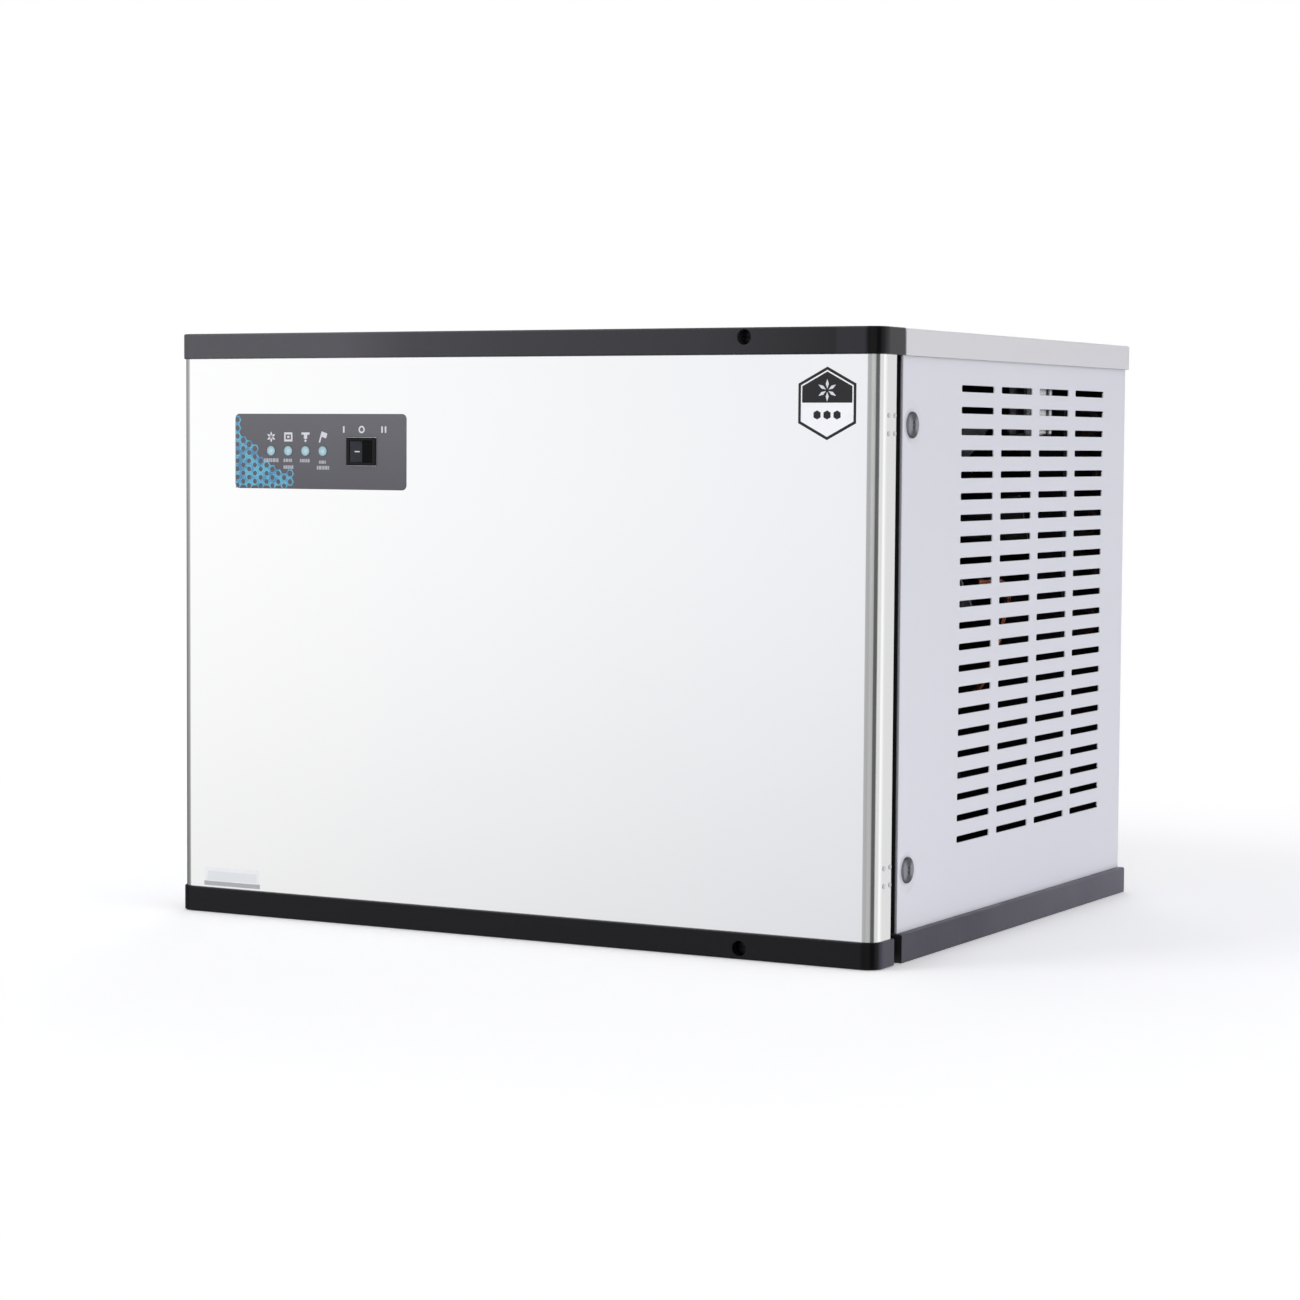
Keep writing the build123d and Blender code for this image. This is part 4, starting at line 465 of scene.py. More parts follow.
cover_face = -0.2459
ridge = [(0.004, 0.0), (0.0032, 0.0012), (0.0015, 0.0021)]
ridge += [(-out, rise) for out, rise in ridge[::-1]]
bead_x, bead_z = (-0.322, 0.002), (0.048, 0.523)
cover_bead = loop_bead("chamber_cover_bead", bead_x, bead_z, 0.022, cover_face, -1, ridge, liner_plastic)
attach(cover_bead, "chassis")
knob_black = moulded("knob_black", tone(28, 28, 30), rough=0.4, rub=0.3)
knob = [(0.0085, 0.0), (0.0090, 0.0010), (0.0090, 0.0062)]
knob += [(0.0082, 0.0074), (0.0060, 0.0078), (0.0054, 0.0066)]
knob_places = [(x, cover_face, z) for x in (-0.332, 0.0125) for z in (0.150, 0.420)]
knobs = turned_shapes("chamber_cover_knobs", knob_places, (0, -1, 0), knob, knob_black)
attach(knobs, "chassis")


# Foam
# Poured or cut foam seen at its cut faces: closed cells two or three millimetres across.
def foam_finish(name, shade, cells):
    """Foam: the distance to the nearest cell's middle gives domed cells with darker seams between them."""
    finish, tree, shader, body, relief = surface(name, shade, 0.85, 800.0, 0.00004, rub=0.0, patch=0.06)
    cell_texture = put(tree, "ShaderNodeTexVoronoi", {"Vector": object_place(tree), "Scale": cells})
    domes = cell_texture.outputs["Distance"]
    seam = scaled(tree, domes, 0.0, 0.45, 0.35, 0.75)
    fill(tree, shader, {"Base Color": between(tree, seam, body, lighter(shade, 0.62))})
    fill(tree, relief, {"Height": maths(tree, "SUBTRACT", 1.0, domes), "Distance": 0.0006})
    return finish


dress(foam_finish("cut_foam", tone(226, 214, 178), 420.0), "chamber_insulation")


# Evaporator
# A copper pan and grid brought up with bright nickel, the cooling coil soldered to its back, all held in a
# white moulded frame.
def metal(name, shade, rough=0.3, grain=900.0, depth=0.00002, **more):
    """A bare metal, its grain drawn out along the way it was rolled or brushed."""
    finish, tree, shader, *_ = surface(name, shade, rough, grain, depth, **more)
    fill(tree, shader, {"Metallic": 1.0})
    return finish


nickel = tone(214, 208, 196)
nickel_plate = metal("nickel_plate", nickel, rough=0.24, grain=700.0, depth=0.00003, patch=0.05, dust=0.05)
dress(nickel_plate, "evaporator_plate")


def clouded(tree, body, shade, scale, detail, most, start, end):
    """A colour that clouds towards a second shade, by up to most, where noise runs from start to end."""
    clouds = noise(tree, object_place(tree), scale, detail)["Fac"]
    return between(tree, scaled(tree, clouds, 0.0, most, start, end), body, shade)


def copper_finish(name):
    """Drawn copper tube: bright where handled, browned in clouds."""
    bright = tone(208, 122, 84)
    finish, tree, shader, body, _ = surface(name, bright, 0.28, 900.0, 0.00002, rub=0.2, patch=0.12)
    browned = clouded(tree, body, tone(122, 66, 44), 28.0, 6.0, 0.75, 0.45, 0.72)
    fill(tree, shader, {"Base Color": browned, "Metallic": 1.0})
    return finish


copper = copper_finish("drawn_copper")
dress(copper, "evaporator_coil", "refrigerant_lines", "filter_drier")
white_plastic = moulded("white_plastic", tone(232, 233, 230), rough=0.4, rub=0.1, patch=0.03)
dress(white_plastic, "evaporator_frame", "water_distribution_tube")


# Water curtain
# A thin flap of clear polycarbonate on two pins, hazed by hard water where the ice brushes it.
def clear_finish(name, shade, haze):
    """Clear plastic: light passes, and limescale clouds roughen it."""
    finish, tree, shader, *_ = surface(name, shade, haze, 500.0, 0.00001, rub=0.1, dust=0.1, patch=0.02)
    fill(tree, shader, {"Transmission Weight": 0.82, "IOR": 1.45})
    return finish


clear_plastic = clear_finish("clear_plastic", tone(226, 238, 242), 0.16)
dress(clear_plastic, "water_curtain")

# Ice thickness probe
# A small moulded arm, pale blue, with a steel tip that the thickening ice pushes.
dress(moulded("probe_plastic", tone(86, 128, 170), rough=0.38, rub=0.25), "thickness_probe_arm")

# Water trough
# A dished white trough under the evaporator, stained a little along its water line.
pale_trough = tone(214, 219, 222)
trough_plastic = moulded("trough_plastic", pale_trough, rough=0.36, grain=1000.0, depth=0.00003, patch=0.05)
dress(trough_plastic, "water_trough")

# Circulation pump
# A black can motor on the shelf, with a grey moulded column, volute and wheel below it, and a black hose.
motor_black = moulded("motor_black", tone(30, 30, 32), rough=0.36, grain=1800.0, depth=0.00003, rub=0.5)
dress(motor_black, "pump_motor", "fan_motor")
grey_plastic = moulded("grey_plastic", tone(126, 128, 131), rough=0.45, rub=0.25)
dress(grey_plastic, "pump_housing", "pump_impeller", "control_housing")
hose_rubber = moulded("hose_rubber", tone(34, 34, 35), rough=0.62, grain=600.0, depth=0.00008, rub=0.15)
dress(hose_rubber, "pump_hose", "compressor_grommets")

# Float switch
# A cream ring of foamed plastic that slides on a thin grey stem between two clips.
float_plastic = moulded("float_plastic", tone(222, 206, 150), rough=0.55, grain=700.0, depth=0.00008, rub=0.1)
dress(float_plastic, "water_float")
dress(grey_plastic, "float_stem")

# Water supply and drain
# Solenoid valves with off-white bodies, a clear fill tube and a grey outlet pipe, pushed through the back.
valve_plastic = moulded("valve_plastic", tone(196, 198, 192), rough=0.42, rub=0.2)
dress(valve_plastic, "water_inlet_valve", "drain_valve")
dress(clear_plastic, "fill_tube")
dress(grey_plastic, "drain_outlet_pipe")

# Compressor
# A welded steel shell in thick black enamel that pulls tight round its seam.
thick_enamel = {"rough": 0.22, "grain": 240.0, "depth": 0.00018, "rub": 0.35, "patch": 0.2}
dress(moulded("compressor_black", tone(20, 20, 22), **thick_enamel), "compressor")


# Condenser
# Thin aluminium fins, 1.8 mm apart, pressed onto the copper tubes between two galvanised end plates. Each is
# folded into shallow ripples from front to back. The tubes and their bends are dark brown as painted shade.
def repeated(faces, size, count):
    """The same faces for so many copies of a shape of so many points."""
    return (np.arange(count)[:, None, None] * size + faces).reshape(-1, faces.shape[1])


def fin_stack(name, low, high, pitch, finish):
    """A row of upright fins: y runs from front to back while x swings half a millimetre from side to side.

    Every fin is a sheet of nine columns by two rows, and the stack repeats it at an even pitch.
    """
    inset, ripple_height, first_gap, last_gap = 0.0003, 0.00045, 0.0008, 0.0010
    starts = np.arange(low[0] + first_gap, high[0] - last_gap, pitch)
    depth_line = np.linspace(low[1] + inset, high[1] - inset, 9)
    ripple = np.where(np.arange(9) % 2 == 0, 0.0, ripple_height)
    levels = np.array((low[2] + inset, high[2] - inset))
    start, level, step = np.meshgrid(starts, levels, np.arange(9), indexing="ij")
    points = np.stack((start + ripple[step], depth_line[step], level), axis=-1).reshape(-1, 3)
    return mesh_piece(name, points, repeated(grid_faces(2, 9), 18, len(starts)), finish)


def end_sheet(name, x, low, high, finish):
    """An end plate: four corner columns joined by quads all round, and closed below and above."""
    left, right = x
    corner = np.array([(left, low[1]), (right, low[1]), (right, high[1]), (left, high[1])])
    points = np.concatenate([np.insert(corner, 2, z, axis=1) for z in (low[2], high[2])])
    return mesh_piece(name, points, [*ring_faces(2, 4), [3, 2, 1, 0], [4, 5, 6, 7]], finish)


pale_aluminium = tone(198, 201, 204)
fin_aluminium = metal("fin_aluminium", pale_aluminium, rough=0.34, grain=600.0, patch=0.05, dust=0.5)
dress(fin_aluminium, "condenser_fins", "fan_blade")
# Painted shade: the condenser tubes are dark brown.
dress(moulded("condenser_tube_painted_shade", tone(52, 36, 30), rough=0.45, rub=0.15), "condenser_tube")
block_low, block_high = (np.array(corner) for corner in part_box("condenser_fins"))
plate_thick, fin_back, fin_pitch = 0.002, 0.2742, 0.0018
fin_low, fin_high = block_low + (plate_thick, 0, 0), (block_high[0] - plate_thick, fin_back, block_high[2])
fins = fin_stack("condenser_fin_stack", fin_low, fin_high, fin_pitch, fin_aluminium)
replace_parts(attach(fins, "chassis"), "condenser_fins")
plate_ends = {"left": (block_low[0], fin_low[0]), "right": (fin_high[0], block_high[0])}
for label, ends in plate_ends.items():
    plate = end_sheet(f"condenser_{label}_plate", ends, block_low, block_high, painted_shade_zinc)
    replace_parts(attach(plate, "chassis"), "condenser_fins")

# Valves of the refrigerant circuit
# Machined brass bodies with steel heads, brazed into the copper lines.
brass_valve = metal("brass_valve", tone(196, 162, 92), rough=0.3, grain=500.0, depth=0.00003, patch=0.08)
dress(brass_valve, "expansion_valve", "hot_gas_valve")


# Boards
# Green lacquered laminate with fine tracks and tinned pads, one behind the lenses and one in the control box.
def laminate_finish(name):
    """Circuit laminate: brick lines on x and z stand for tracks, a dot lattice for the soldered pads."""
    finish, tree, shader, body, _ = surface(name, tone(22, 84, 52), 0.3, 900.0, 0.00002, rub=0.2)
    parts = parts_of(tree, object_place(tree))
    upright = put(tree, "ShaderNodeCombineXYZ", {0: parts["X"], 1: parts["Z"], 2: 0.0}).outputs[0]
    lines = {"Vector": upright, "Scale": 60.0, "Mortar Size": 0.03, "Brick Width": 1.7, "Row Height": 0.3}
    tracks = put(tree, "ShaderNodeTexBrick", lines, offset=0.37, squash=1.6).outputs["Fac"]
    tracked = between(tree, tracks, body, tone(44, 122, 74))
    lattice = {"Vector": upright, "Scale": 240.0, "Randomness": 0.0}
    dots = put(tree, "ShaderNodeTexVoronoi", lattice).outputs["Distance"]
    pads = scaled(tree, dots, 1.0, 0.0, 0.16, 0.22)
    fill(tree, shader, {"Base Color": between(tree, pads, tracked, tone(196, 198, 196))})
    return finish


dress(laminate_finish("circuit_laminate"), "circuit_board", "led_board")


# Control box cover
# The flat lid is held by five pan head screws and has a row of pressed louvres over the board.
def ridges(name, starts, length, width, rise, toward, finish):
    """Pressed ridges along x: the rise follows a half sine across z and falls to nothing at both ends."""
    along = np.array((0.0, 0.04, 0.96, 1.0))
    taper = np.array((0.0, 1.0, 1.0, 0.0))
    over = np.linspace(0, 1, 7)
    step, part = np.meshgrid(np.arange(4), np.arange(7), indexing="ij")
    height = toward * rise * taper[step] * np.sin(math.pi * over[part])
    one = np.stack((along[step] * length, height, (over[part] - 0.5) * width), axis=-1).reshape(-1, 3)
    points = (np.array(starts)[:, None, :] + one).reshape(-1, 3)
    faces = repeated(grid_faces(4, 7), 28, len(starts))
    return mesh_piece(name, points, faces if toward > 0 else faces[:, ::-1], finish, smooth=True)


lid_face, louvre_lift = -0.2411, 0.00005
louvre_places = [(0.196, lid_face - louvre_lift, z) for z in 0.372 + 0.018 * np.arange(8)]
louvres = ridges("control_box_louvres", louvre_places, 0.082, 0.009, 0.0032, -1, galvanised)
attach(louvres, "chassis")
pan_head = [(0.0042, 0.0), (0.0042, 0.0009), (0.0034, 0.0019), (0.0019, 0.0023), (0.0017, 0.0010)]
screw_steel = metal("screw_steel", tone(188, 190, 194), rough=0.26, grain=1500.0)
lid_low, lid_top = 0.352, 0.528
lid_places = [(x, lid_face, z) for x in (0.036, 0.300) for z in (lid_low, lid_top)]
lid_places += [(0.168, lid_face, lid_top)]
lid_screws = turned_shapes("control_box_screws", lid_places, (0, -1, 0), pan_head, screw_steel)
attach(lid_screws, "chassis")


# Fan capacitor
# A drawn aluminium can, crimped at its top. A zinc plated strap goes round it and ends in a foot that is
# screwed to the front of the fan shroud.
def strap(name, line, low, high, thick, finish):
    """A band on edge: a plan line moved half its thickness to either side and raised from low to high."""
    along = np.gradient(line, axis=0)
    along /= np.linalg.norm(along, axis=1)[:, None]
    aside = np.stack((-along[:, 1], along[:, 0]), axis=1) * thick / 2
    corners = [(line + aside, low), (line - aside, low), (line - aside, high), (line + aside, high)]
    points = np.stack([np.insert(side, 2, level, axis=1) for side, level in corners], axis=1).reshape(-1, 3)
    last = len(points) - 4
    walls = ring_faces(len(line), 4)[:, (0, 3, 2, 1)]
    return mesh_piece(name, points, [*walls, [0, 1, 2, 3], [last + 3, last + 2, last + 1, last]], finish)


bright_can = tone(214, 216, 220)
can_aluminium = metal("can_aluminium", bright_can, rough=0.24, stretch=(1.0, 1.0, 0.02), dust=0.1)
can_middle, can_foot, can_radius = np.array((0.3330, 0.1494)), 0.4760, 0.0225
can_side = [(0.0200, 0.0), (0.0219, 0.0006), (0.0225, 0.0022), (0.0225, 0.0610), (0.0231, 0.0620)]
can_side += [(0.0231, 0.0642), (0.0224, 0.0650), (0.0213, 0.0648), (0.0208, 0.0632), (0.0120, 0.0640)]
can_place, upward = [(*can_middle, can_foot)], (0, 0, 1)
can = turned_shapes("fan_capacitor_can", can_place, upward, can_side, can_aluminium, sides=48, seated=False)
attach(can, "chassis")
strap_thick, strap_low, strap_high, bend_radius = 0.0012, 0.4830, 0.4950, 0.003
strap_reach = can_radius + strap_thick / 2
wrap = np.radians(np.linspace(180, 475, 50))[:, None]
round_can = can_middle + strap_reach * np.concatenate((np.cos(wrap), np.sin(wrap)), axis=1)
arm_x, foot_y = can_middle[0] - strap_reach, 0.2054
foot_bend = np.radians(np.linspace(90, 0, 5))[:, None]
bend = (arm_x, foot_y) + bend_radius * (np.concatenate((np.cos(foot_bend), np.sin(foot_bend)), axis=1) - 1)
strap_line = np.concatenate(([(0.2830, foot_y)], bend, [(arm_x, 0.1800)], round_can))
band = strap("fan_capacitor_strap", strap_line, strap_low, strap_high, strap_thick, galvanised)
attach(band, "chassis")
strap_screw_place = [(0.2925, foot_y - strap_thick / 2, (strap_low + strap_high) / 2)]
strap_screw = turned_shapes("fan_capacitor_screw", strap_screw_place, (0, -1, 0), pan_head, screw_steel)
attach(strap_screw, "chassis")


# Compressor charging tube
# A short copper tube brazed into the shell. It rises clear of it, turns forward and is pinched shut.
def unit(rows):
    """Vectors of length one: each row over its own length."""
    return rows / np.linalg.norm(rows, axis=1)[:, None]


def drawn_tube(name, controls, radius, pinched, finish):
    """A round tube on a cubic curve through its points, its slope at each set by the two points beside it.

    Over its last part the circle is squeezed across by a smooth step, down to a flat end.
    """
    sides, flat_share = 14, 0.22
    given = np.array(controls)
    held = np.concatenate(([2 * given[0] - given[1]], given, [2 * given[-1] - given[-2]]))
    t = np.linspace(0, 1, 8, endpoint=False)[None, :, None]
    before, start, end, after = (held[i : len(held) - 3 + i, None, :] for i in range(4))
    square = 2 * before - 5 * start + 4 * end - after
    cube = 3 * start - before - 3 * end + after
    line = (2 * start + (end - before) * t + square * t**2 + cube * t**3) / 2
    line = np.concatenate((line.reshape(-1, 3), given[-1:]))
    along = unit(np.gradient(line, axis=0))
    upward = unit(np.cross(along, (1.0, 0.0, 0.0)))
    sideward = np.cross(along, upward)
    left = np.clip(np.linalg.norm(line - line[-1], axis=1) / pinched, 0, 1)
    squeeze = (flat_share + (1 - flat_share) * left**2 * (3 - 2 * left))[:, None, None]
    turn = np.radians(np.arange(sides) * 360 / sides)[None, :, None]
    spokes = np.cos(turn) * sideward[:, None, :] * squeeze + np.sin(turn) * upward[:, None, :]
    points = (line[:, None, :] + radius * spokes).reshape(-1, 3)
    walls = ring_faces(len(line), sides)[:, (0, 3, 2, 1)]
    foot, tip = np.arange(sides), np.arange(len(points) - sides, len(points))[::-1]
    return mesh_piece(name, points, [*walls, foot, tip], finish, smooth=True)


tube_points = [(0.284, 0.045, 0.200), (0.302, 0.045, 0.207), (0.326, 0.044, 0.228)]
tube_points += [(0.343, 0.043, 0.262), (0.346, 0.052, 0.2926), (0.346, 0.067, 0.3132)]
tube_points += [(0.346, 0.052, 0.3318), (0.346, 0.025, 0.3338), (0.346, -0.006, 0.3338)]
charging_tube = drawn_tube("compressor_charging_tube", tube_points, 0.003, 0.012, copper)
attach(charging_tube, "chassis")

# Power gland
# A black nylon cable gland and its locknut in the back panel.
black_nylon = moulded("black_nylon", tone(24, 24, 26), rough=0.34, grain=1600.0, depth=0.00003, rub=0.3)
dress(black_nylon, "power_gland")

# Side panels, cover and back panel
# Steel sheet with a pale grey baked coat that has a faint orange peel. Both sides are dished a little round
# the two broad fasteners where these pull the sheet in, and their front edges are hemmed. Inner faces are
# dark grey as painted shade, the hems are darker as painted shade, and the sides pale towards the bottom as
# painted light.
fastener_y, low_fastener_z, high_fastener_z = -0.2326, 0.0816, 0.4837


def painted_finish(name, shade, dished):
    """Baked coat: orange peel from fine noise, and where dished, a shallow ring round each fastener and
    painted light that pales the coat towards the bottom.

    The ring is a smooth bump of the distance to the fastener's axis in y and z, highest 17 mm out. Faces that
    look back at the middle of the cabinet, as their normal runs against their place, are dark grey as painted
    shade.
    """
    cabinet_middle = (0.0, 0.0, 0.285)
    finish, tree, shader, body, relief = surface(
        name, shade, 0.42, 480.0, 0.00004, rub=0.12, dust=0.1, patch=0.018
    )
    place = object_place(tree)
    from_middle = vectors(tree, "SUBTRACT", place, cabinet_middle)
    outward = vectors(tree, "DOT_PRODUCT", way_faced(tree), from_middle)
    # Painted shade: faces that look back at the middle of the cabinet turn dark grey.
    painted_shade_inside = scaled(tree, outward, 1.0, 0.0, -0.272, -0.262)
    if dished:
        # Painted light: the dished sides pale towards the bottom.
        body = between(tree, axis_share(tree, "Z", 0.5, 0.03, 0.8), body, lighter(shade, 1.12))
        flat = vectors(tree, "MULTIPLY", place, (0.0, 1.0, 1.0))
        height = 0.0
        for level in (low_fastener_z, high_fastener_z):
            away = vectors(tree, "DISTANCE", flat, (0.0, fastener_y, level))
            rising = scaled(tree, away, 0.0, 1.0, 0.0120, 0.0165)
            falling = scaled(tree, away, 1.0, 0.0, 0.0165, 0.0215)
            height = maths(tree, "ADD", maths(tree, "MULTIPLY", rising, falling), height)
        raised = {"Strength": 0.9, "Distance": 0.0009, "Height": height, "Normal": relief.outputs[0]}
        fill(tree, shader, {"Normal": put(tree, "ShaderNodeBump", raised).outputs[0]})
    fill(tree, shader, {"Base Color": between(tree, painted_shade_inside, body, tone(30, 30, 32))})
    return finish


def hem(name, side, finish):
    """A rolled edge along z: half a circle of 1.3 mm radius about the sheet's front edge, open behind."""
    radius, middle_x, middle_y = 0.0013, 0.37345, -0.25235
    turn = np.radians(np.linspace(0, 180, 9))
    x = side * (middle_x + radius * np.cos(turn))
    y = middle_y - radius * np.sin(turn)
    levels = np.array((0.0263, 0.5453))
    points = np.stack((np.tile(x, 2), np.tile(y, 2), np.repeat(levels, 9)), axis=1)
    faces = grid_faces(2, 9)
    return mesh_piece(name, points, faces if side < 0 else faces[:, ::-1], finish, smooth=True)


dress(painted_finish("painted_panel", tone(217, 218, 225), True), "left_side_panel", "right_side_panel")
dress(painted_finish("painted_cover", tone(213, 212, 215), False), "top_cover", "back_panel")
# Painted shade: the hems are a darker grey than the panels.
hem_painted_shade = painted_finish("hem_painted_shade", tone(134, 134, 140), False)
for label, side in (("left", -1), ("right", 1)):
    edge_piece = hem(f"{label}_panel_hem", side, hem_painted_shade)
    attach(edge_piece, "chassis")

# Panel fixings
# Zinc plated screws at the back, and broad dark grey fasteners with a lathe-turned face on both sides.
rivet_steel = metal("rivet_steel", tone(222, 223, 225), rough=0.3, grain=1200.0, rub=0.1)
dress(rivet_steel, "rear_screws", "front_panel_rivets")


def fastener_finish(name):
    """Dark plated steel with the rings of a turned face, from the distance to the nearer fastener's axis.

    As on any turned face, its sheen splits into two wedges, here as a painted reflection: it darkens with
    the square of z over distance.
    """
    finish, tree, shader, body, relief = surface(name, tone(140, 142, 149), 0.3, 900.0, 0.00002, rub=0.4)
    middle, half_apart = (low_fastener_z + high_fastener_z) / 2, (high_fastener_z - low_fastener_z) / 2
    parts = parts_of(tree, object_place(tree))
    folded = maths(tree, "ABSOLUTE", maths(tree, "SUBTRACT", parts["Z"], middle))
    upward = maths(tree, "SUBTRACT", folded, half_apart)
    backward = maths(tree, "ADD", parts["Y"], -fastener_y)
    plane = put(tree, "ShaderNodeCombineXYZ", {0: 0.0, 1: backward, 2: upward}).outputs[0]
    away = vectors(tree, "LENGTH", plane)
    # Painted reflection: the turned face darkens in two wedges, above and below its axis.
    painted_sheen_wedge = maths(tree, "POWER", maths(tree, "DIVIDE", upward, away), 2.0)
    painted_sheen = between(tree, scaled(tree, painted_sheen_wedge, 0.0, 1.0, 0.3, 0.85), body, tone(70, 71, 77))
    fill(tree, shader, {"Base Color": painted_sheen, "Metallic": 0.85})
    fill(tree, relief, {"Height": maths(tree, "SINE", maths(tree, "MULTIPLY", away, 6200.0))})
    return finish


dress(fastener_finish("turned_fastener"), "side_panel_fasteners")

# Hinges
# Zinc plated leaves with a faint yellow cast, riveted to the door and clamped under the side fasteners.
hinge_steel = metal("hinge_steel", tone(186, 184, 172), rough=0.34, grain=700.0, patch=0.08)
dress(hinge_steel, "door_hinge_leaves", "cabinet_hinge_leaves")

# Front panel backing
# White bead foam glued into the steel tray, with a black closed-cell tape near its edge that keeps the panel
# from drumming on the posts.
dress(foam_finish("bead_foam", tone(226, 227, 226), 270.0), "front_panel_backing")
tape_x, tape_z, backing_face = (-0.352, 0.352), (0.039, 0.531), -0.2791
tape = [(0.006, 0.0), (0.0056, 0.0034), (0.0048, 0.0040)]
tape += [(-out, rise) for out, rise in tape[::-1]]
edge_tape = loop_bead("front_panel_tape", tape_x, tape_z, 0.016, backing_face, 1, tape, hose_rubber)
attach(edge_tape, "front_panel")

# Control housing
# The grey moulded box behind the overlay is closed by four small screws and cooled through raised louvres.
housing_back, vent_lift = -0.2621, 0.00005
housing_places = [(x, housing_back, z) for x in (-0.304, -0.124) for z in (0.4285, 0.483)]
housing_screws = turned_shapes("control_housing_screws", housing_places, (0, 1, 0), pan_head, screw_steel)
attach(housing_screws, "front_panel")
vent_places = [(-0.270, housing_back + vent_lift, z) for z in 0.440 + 0.008 * np.arange(5)]
vents = ridges("control_housing_vents", vent_places, 0.112, 0.0042, 0.0018, 1, grey_plastic)
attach(vents, "front_panel")


# Front panel skin
# Polished stainless sheet, folded into a tray. Its polish has a hair-fine upright grain and a slow waviness
# that bends reflections a little.
def polished_finish(name):
    """Polished steel: long upright scratches, cloudy gloss and a waviness about a hand's breadth long."""
    finish, tree, shader = new_finish(name)
    grains = effect(tree, surface_grain, {"Scale": 1500.0, "Stretch": (1.0, 1.0, 0.012)})
    edge = effect(tree, edge_rub, {"Width": 0.0006})
    shade = between(tree, grains["Broad"], tone(250, 250, 251), tone(254, 254, 254))
    gloss = scaled(tree, grains["Broad"], 0.085, 0.14)
    fine_relief = {"Strength": 0.06, "Distance": 0.00003, "Height": grains["Fine"], "Normal": edge["Normal"]}
    scratches = put(tree, "ShaderNodeBump", fine_relief).outputs[0]
    sway = noise(tree, object_place(tree), 9.0, 1.0)["Fac"]
    slow_relief = {"Strength": 0.25, "Distance": 0.0006, "Height": sway, "Normal": scratches}
    waviness = put(tree, "ShaderNodeBump", slow_relief).outputs[0]
    fill(tree, shader, {"Base Color": shade, "Metallic": 1.0, "Roughness": gloss, "Normal": waviness})
    return finish


dress(polished_finish("polished_steel"), "front_panel_skin")


# Front panel trims
# Charcoal plastic bars moulded with a leathery fine texture. The upper one carries a painted reflection: it
# is a shade lighter at the left, darker towards the right, and lighter again over its last 28 mm before the
# right corner. Both carry a painted shade where they turn that corner, and a painted reflection on their side
# ends.
def trim_finish(name, shade, grey_and_painted_reflection_run, painted_corner_shade, painted_side_reflection, shine):
    """Moulded bar: its grey follows the stops (x, level) from left to right, and stays at the last one.

    On the upper bar the stops are a painted reflection. From x = 363 mm it turns to a painted corner shade,
    and past x = 379 mm, on the side, to a painted side reflection.
    """
    half_run, corner_x, side_x = 0.4, (0.3630, 0.3668), (0.3788, 0.3807)
    finish, tree, shader, body, _ = surface(
        name, shade, 0.24, 1300.0, 0.00004, rub=0.15, dust=0.15, patch=0.06
    )
    # Painted reflection: the grey runs through the stops along x.
    stops = [((x + half_run) / (2 * half_run), tone(level, level - 1, level + 4)) for x, level in grey_and_painted_reflection_run]
    greys = colour_ramp(tree, axis_share(tree, "X", -half_run, half_run), stops)
    with_painted_reflection = between(tree, 0.82, body, greys)
    # Painted shade: the dark band round the right corner.
    with_painted_corner_shade = between(tree, axis_share(tree, "X", *corner_x), with_painted_reflection, painted_corner_shade)
    # Painted reflection: the grey of the side end.
    with_painted_side_reflection = between(tree, axis_share(tree, "X", *side_x), with_painted_corner_shade, painted_side_reflection)
    fill(tree, shader, {"Base Color": with_painted_side_reflection, "Specular IOR Level": shine})
    return finish


# Upper trim: painted reflection along x, painted shade at the corner, painted reflection on the side end.
top_painted_reflection_run = [(-0.19, 85), (-0.11, 64), (0.0, 54), (0.2, 43), (0.335, 6), (0.3351, 32)]
top_grey, top_painted_corner_shade, top_painted_side_reflection = tone(64, 63, 68), tone(2, 1, 4), tone(24, 24, 28)
top_plastic = trim_finish("top_trim_plastic", top_grey, top_painted_reflection_run, top_painted_corner_shade, top_painted_side_reflection, 0.28)
dress(top_plastic, "front_panel_top_trim")
# Bottom trim: painted shade at the corner and a lighter painted reflection on the side end.
bottom_run, bottom_black, bottom_painted_side_reflection = [(-0.38, 10), (0.38, 12)], tone(11, 11, 16), tone(60, 57, 71)
bottom_plastic = trim_finish("bottom_trim_plastic", bottom_black, bottom_run, tone(6, 6, 9), bottom_painted_side_reflection, 0.22)
dress(bottom_plastic, "front_panel_bottom_trim")
dress(metal("dark_screw", tone(40, 40, 43), rough=0.38, grain=800.0, rub=0.5), "front_panel_screws")


# Control overlay
# A printed polycarbonate film stuck to the steel: warm grey, a little darker below, with a satin face.
def film_finish(name):
    """Printed film: its grey runs darker from top to bottom, under a fine satin grain."""
    finish, tree, shader, body, _ = surface(
        name, tone(99, 99, 104), 0.42, 2400.0, 0.00002, rub=0.1, dust=0.0, patch=0.02
    )
    film_top, film_foot = 0.492, 0.4195
    darkened = between(tree, axis_share(tree, "Z", film_top, film_foot), body, tone(86, 86, 92))
    fill(tree, shader, {"Base Color": darkened})
    return finish


dress(film_finish("overlay_film"), "control_overlay")


# Print on the overlay
# Screen-printed inks on the film: a fading honeycomb of blue cells at the lower left, four plain signs over
# the lenses, rows of plain blocks under them, and the marks I, O and II over the switch.
def flat_print(name, outlines, y, finish):
    """Ink shapes as flat polygons in one plane that faces forward, each outline an array of (x, z) points."""
    sizes = [len(outline) for outline in outlines]
    points = np.insert(np.concatenate(outlines), 1, y, axis=1)
    faces = [start + np.arange(size) for start, size in zip(np.cumsum([0, *sizes[:-1]]), sizes)]
    return mesh_piece(name, points, faces, finish)


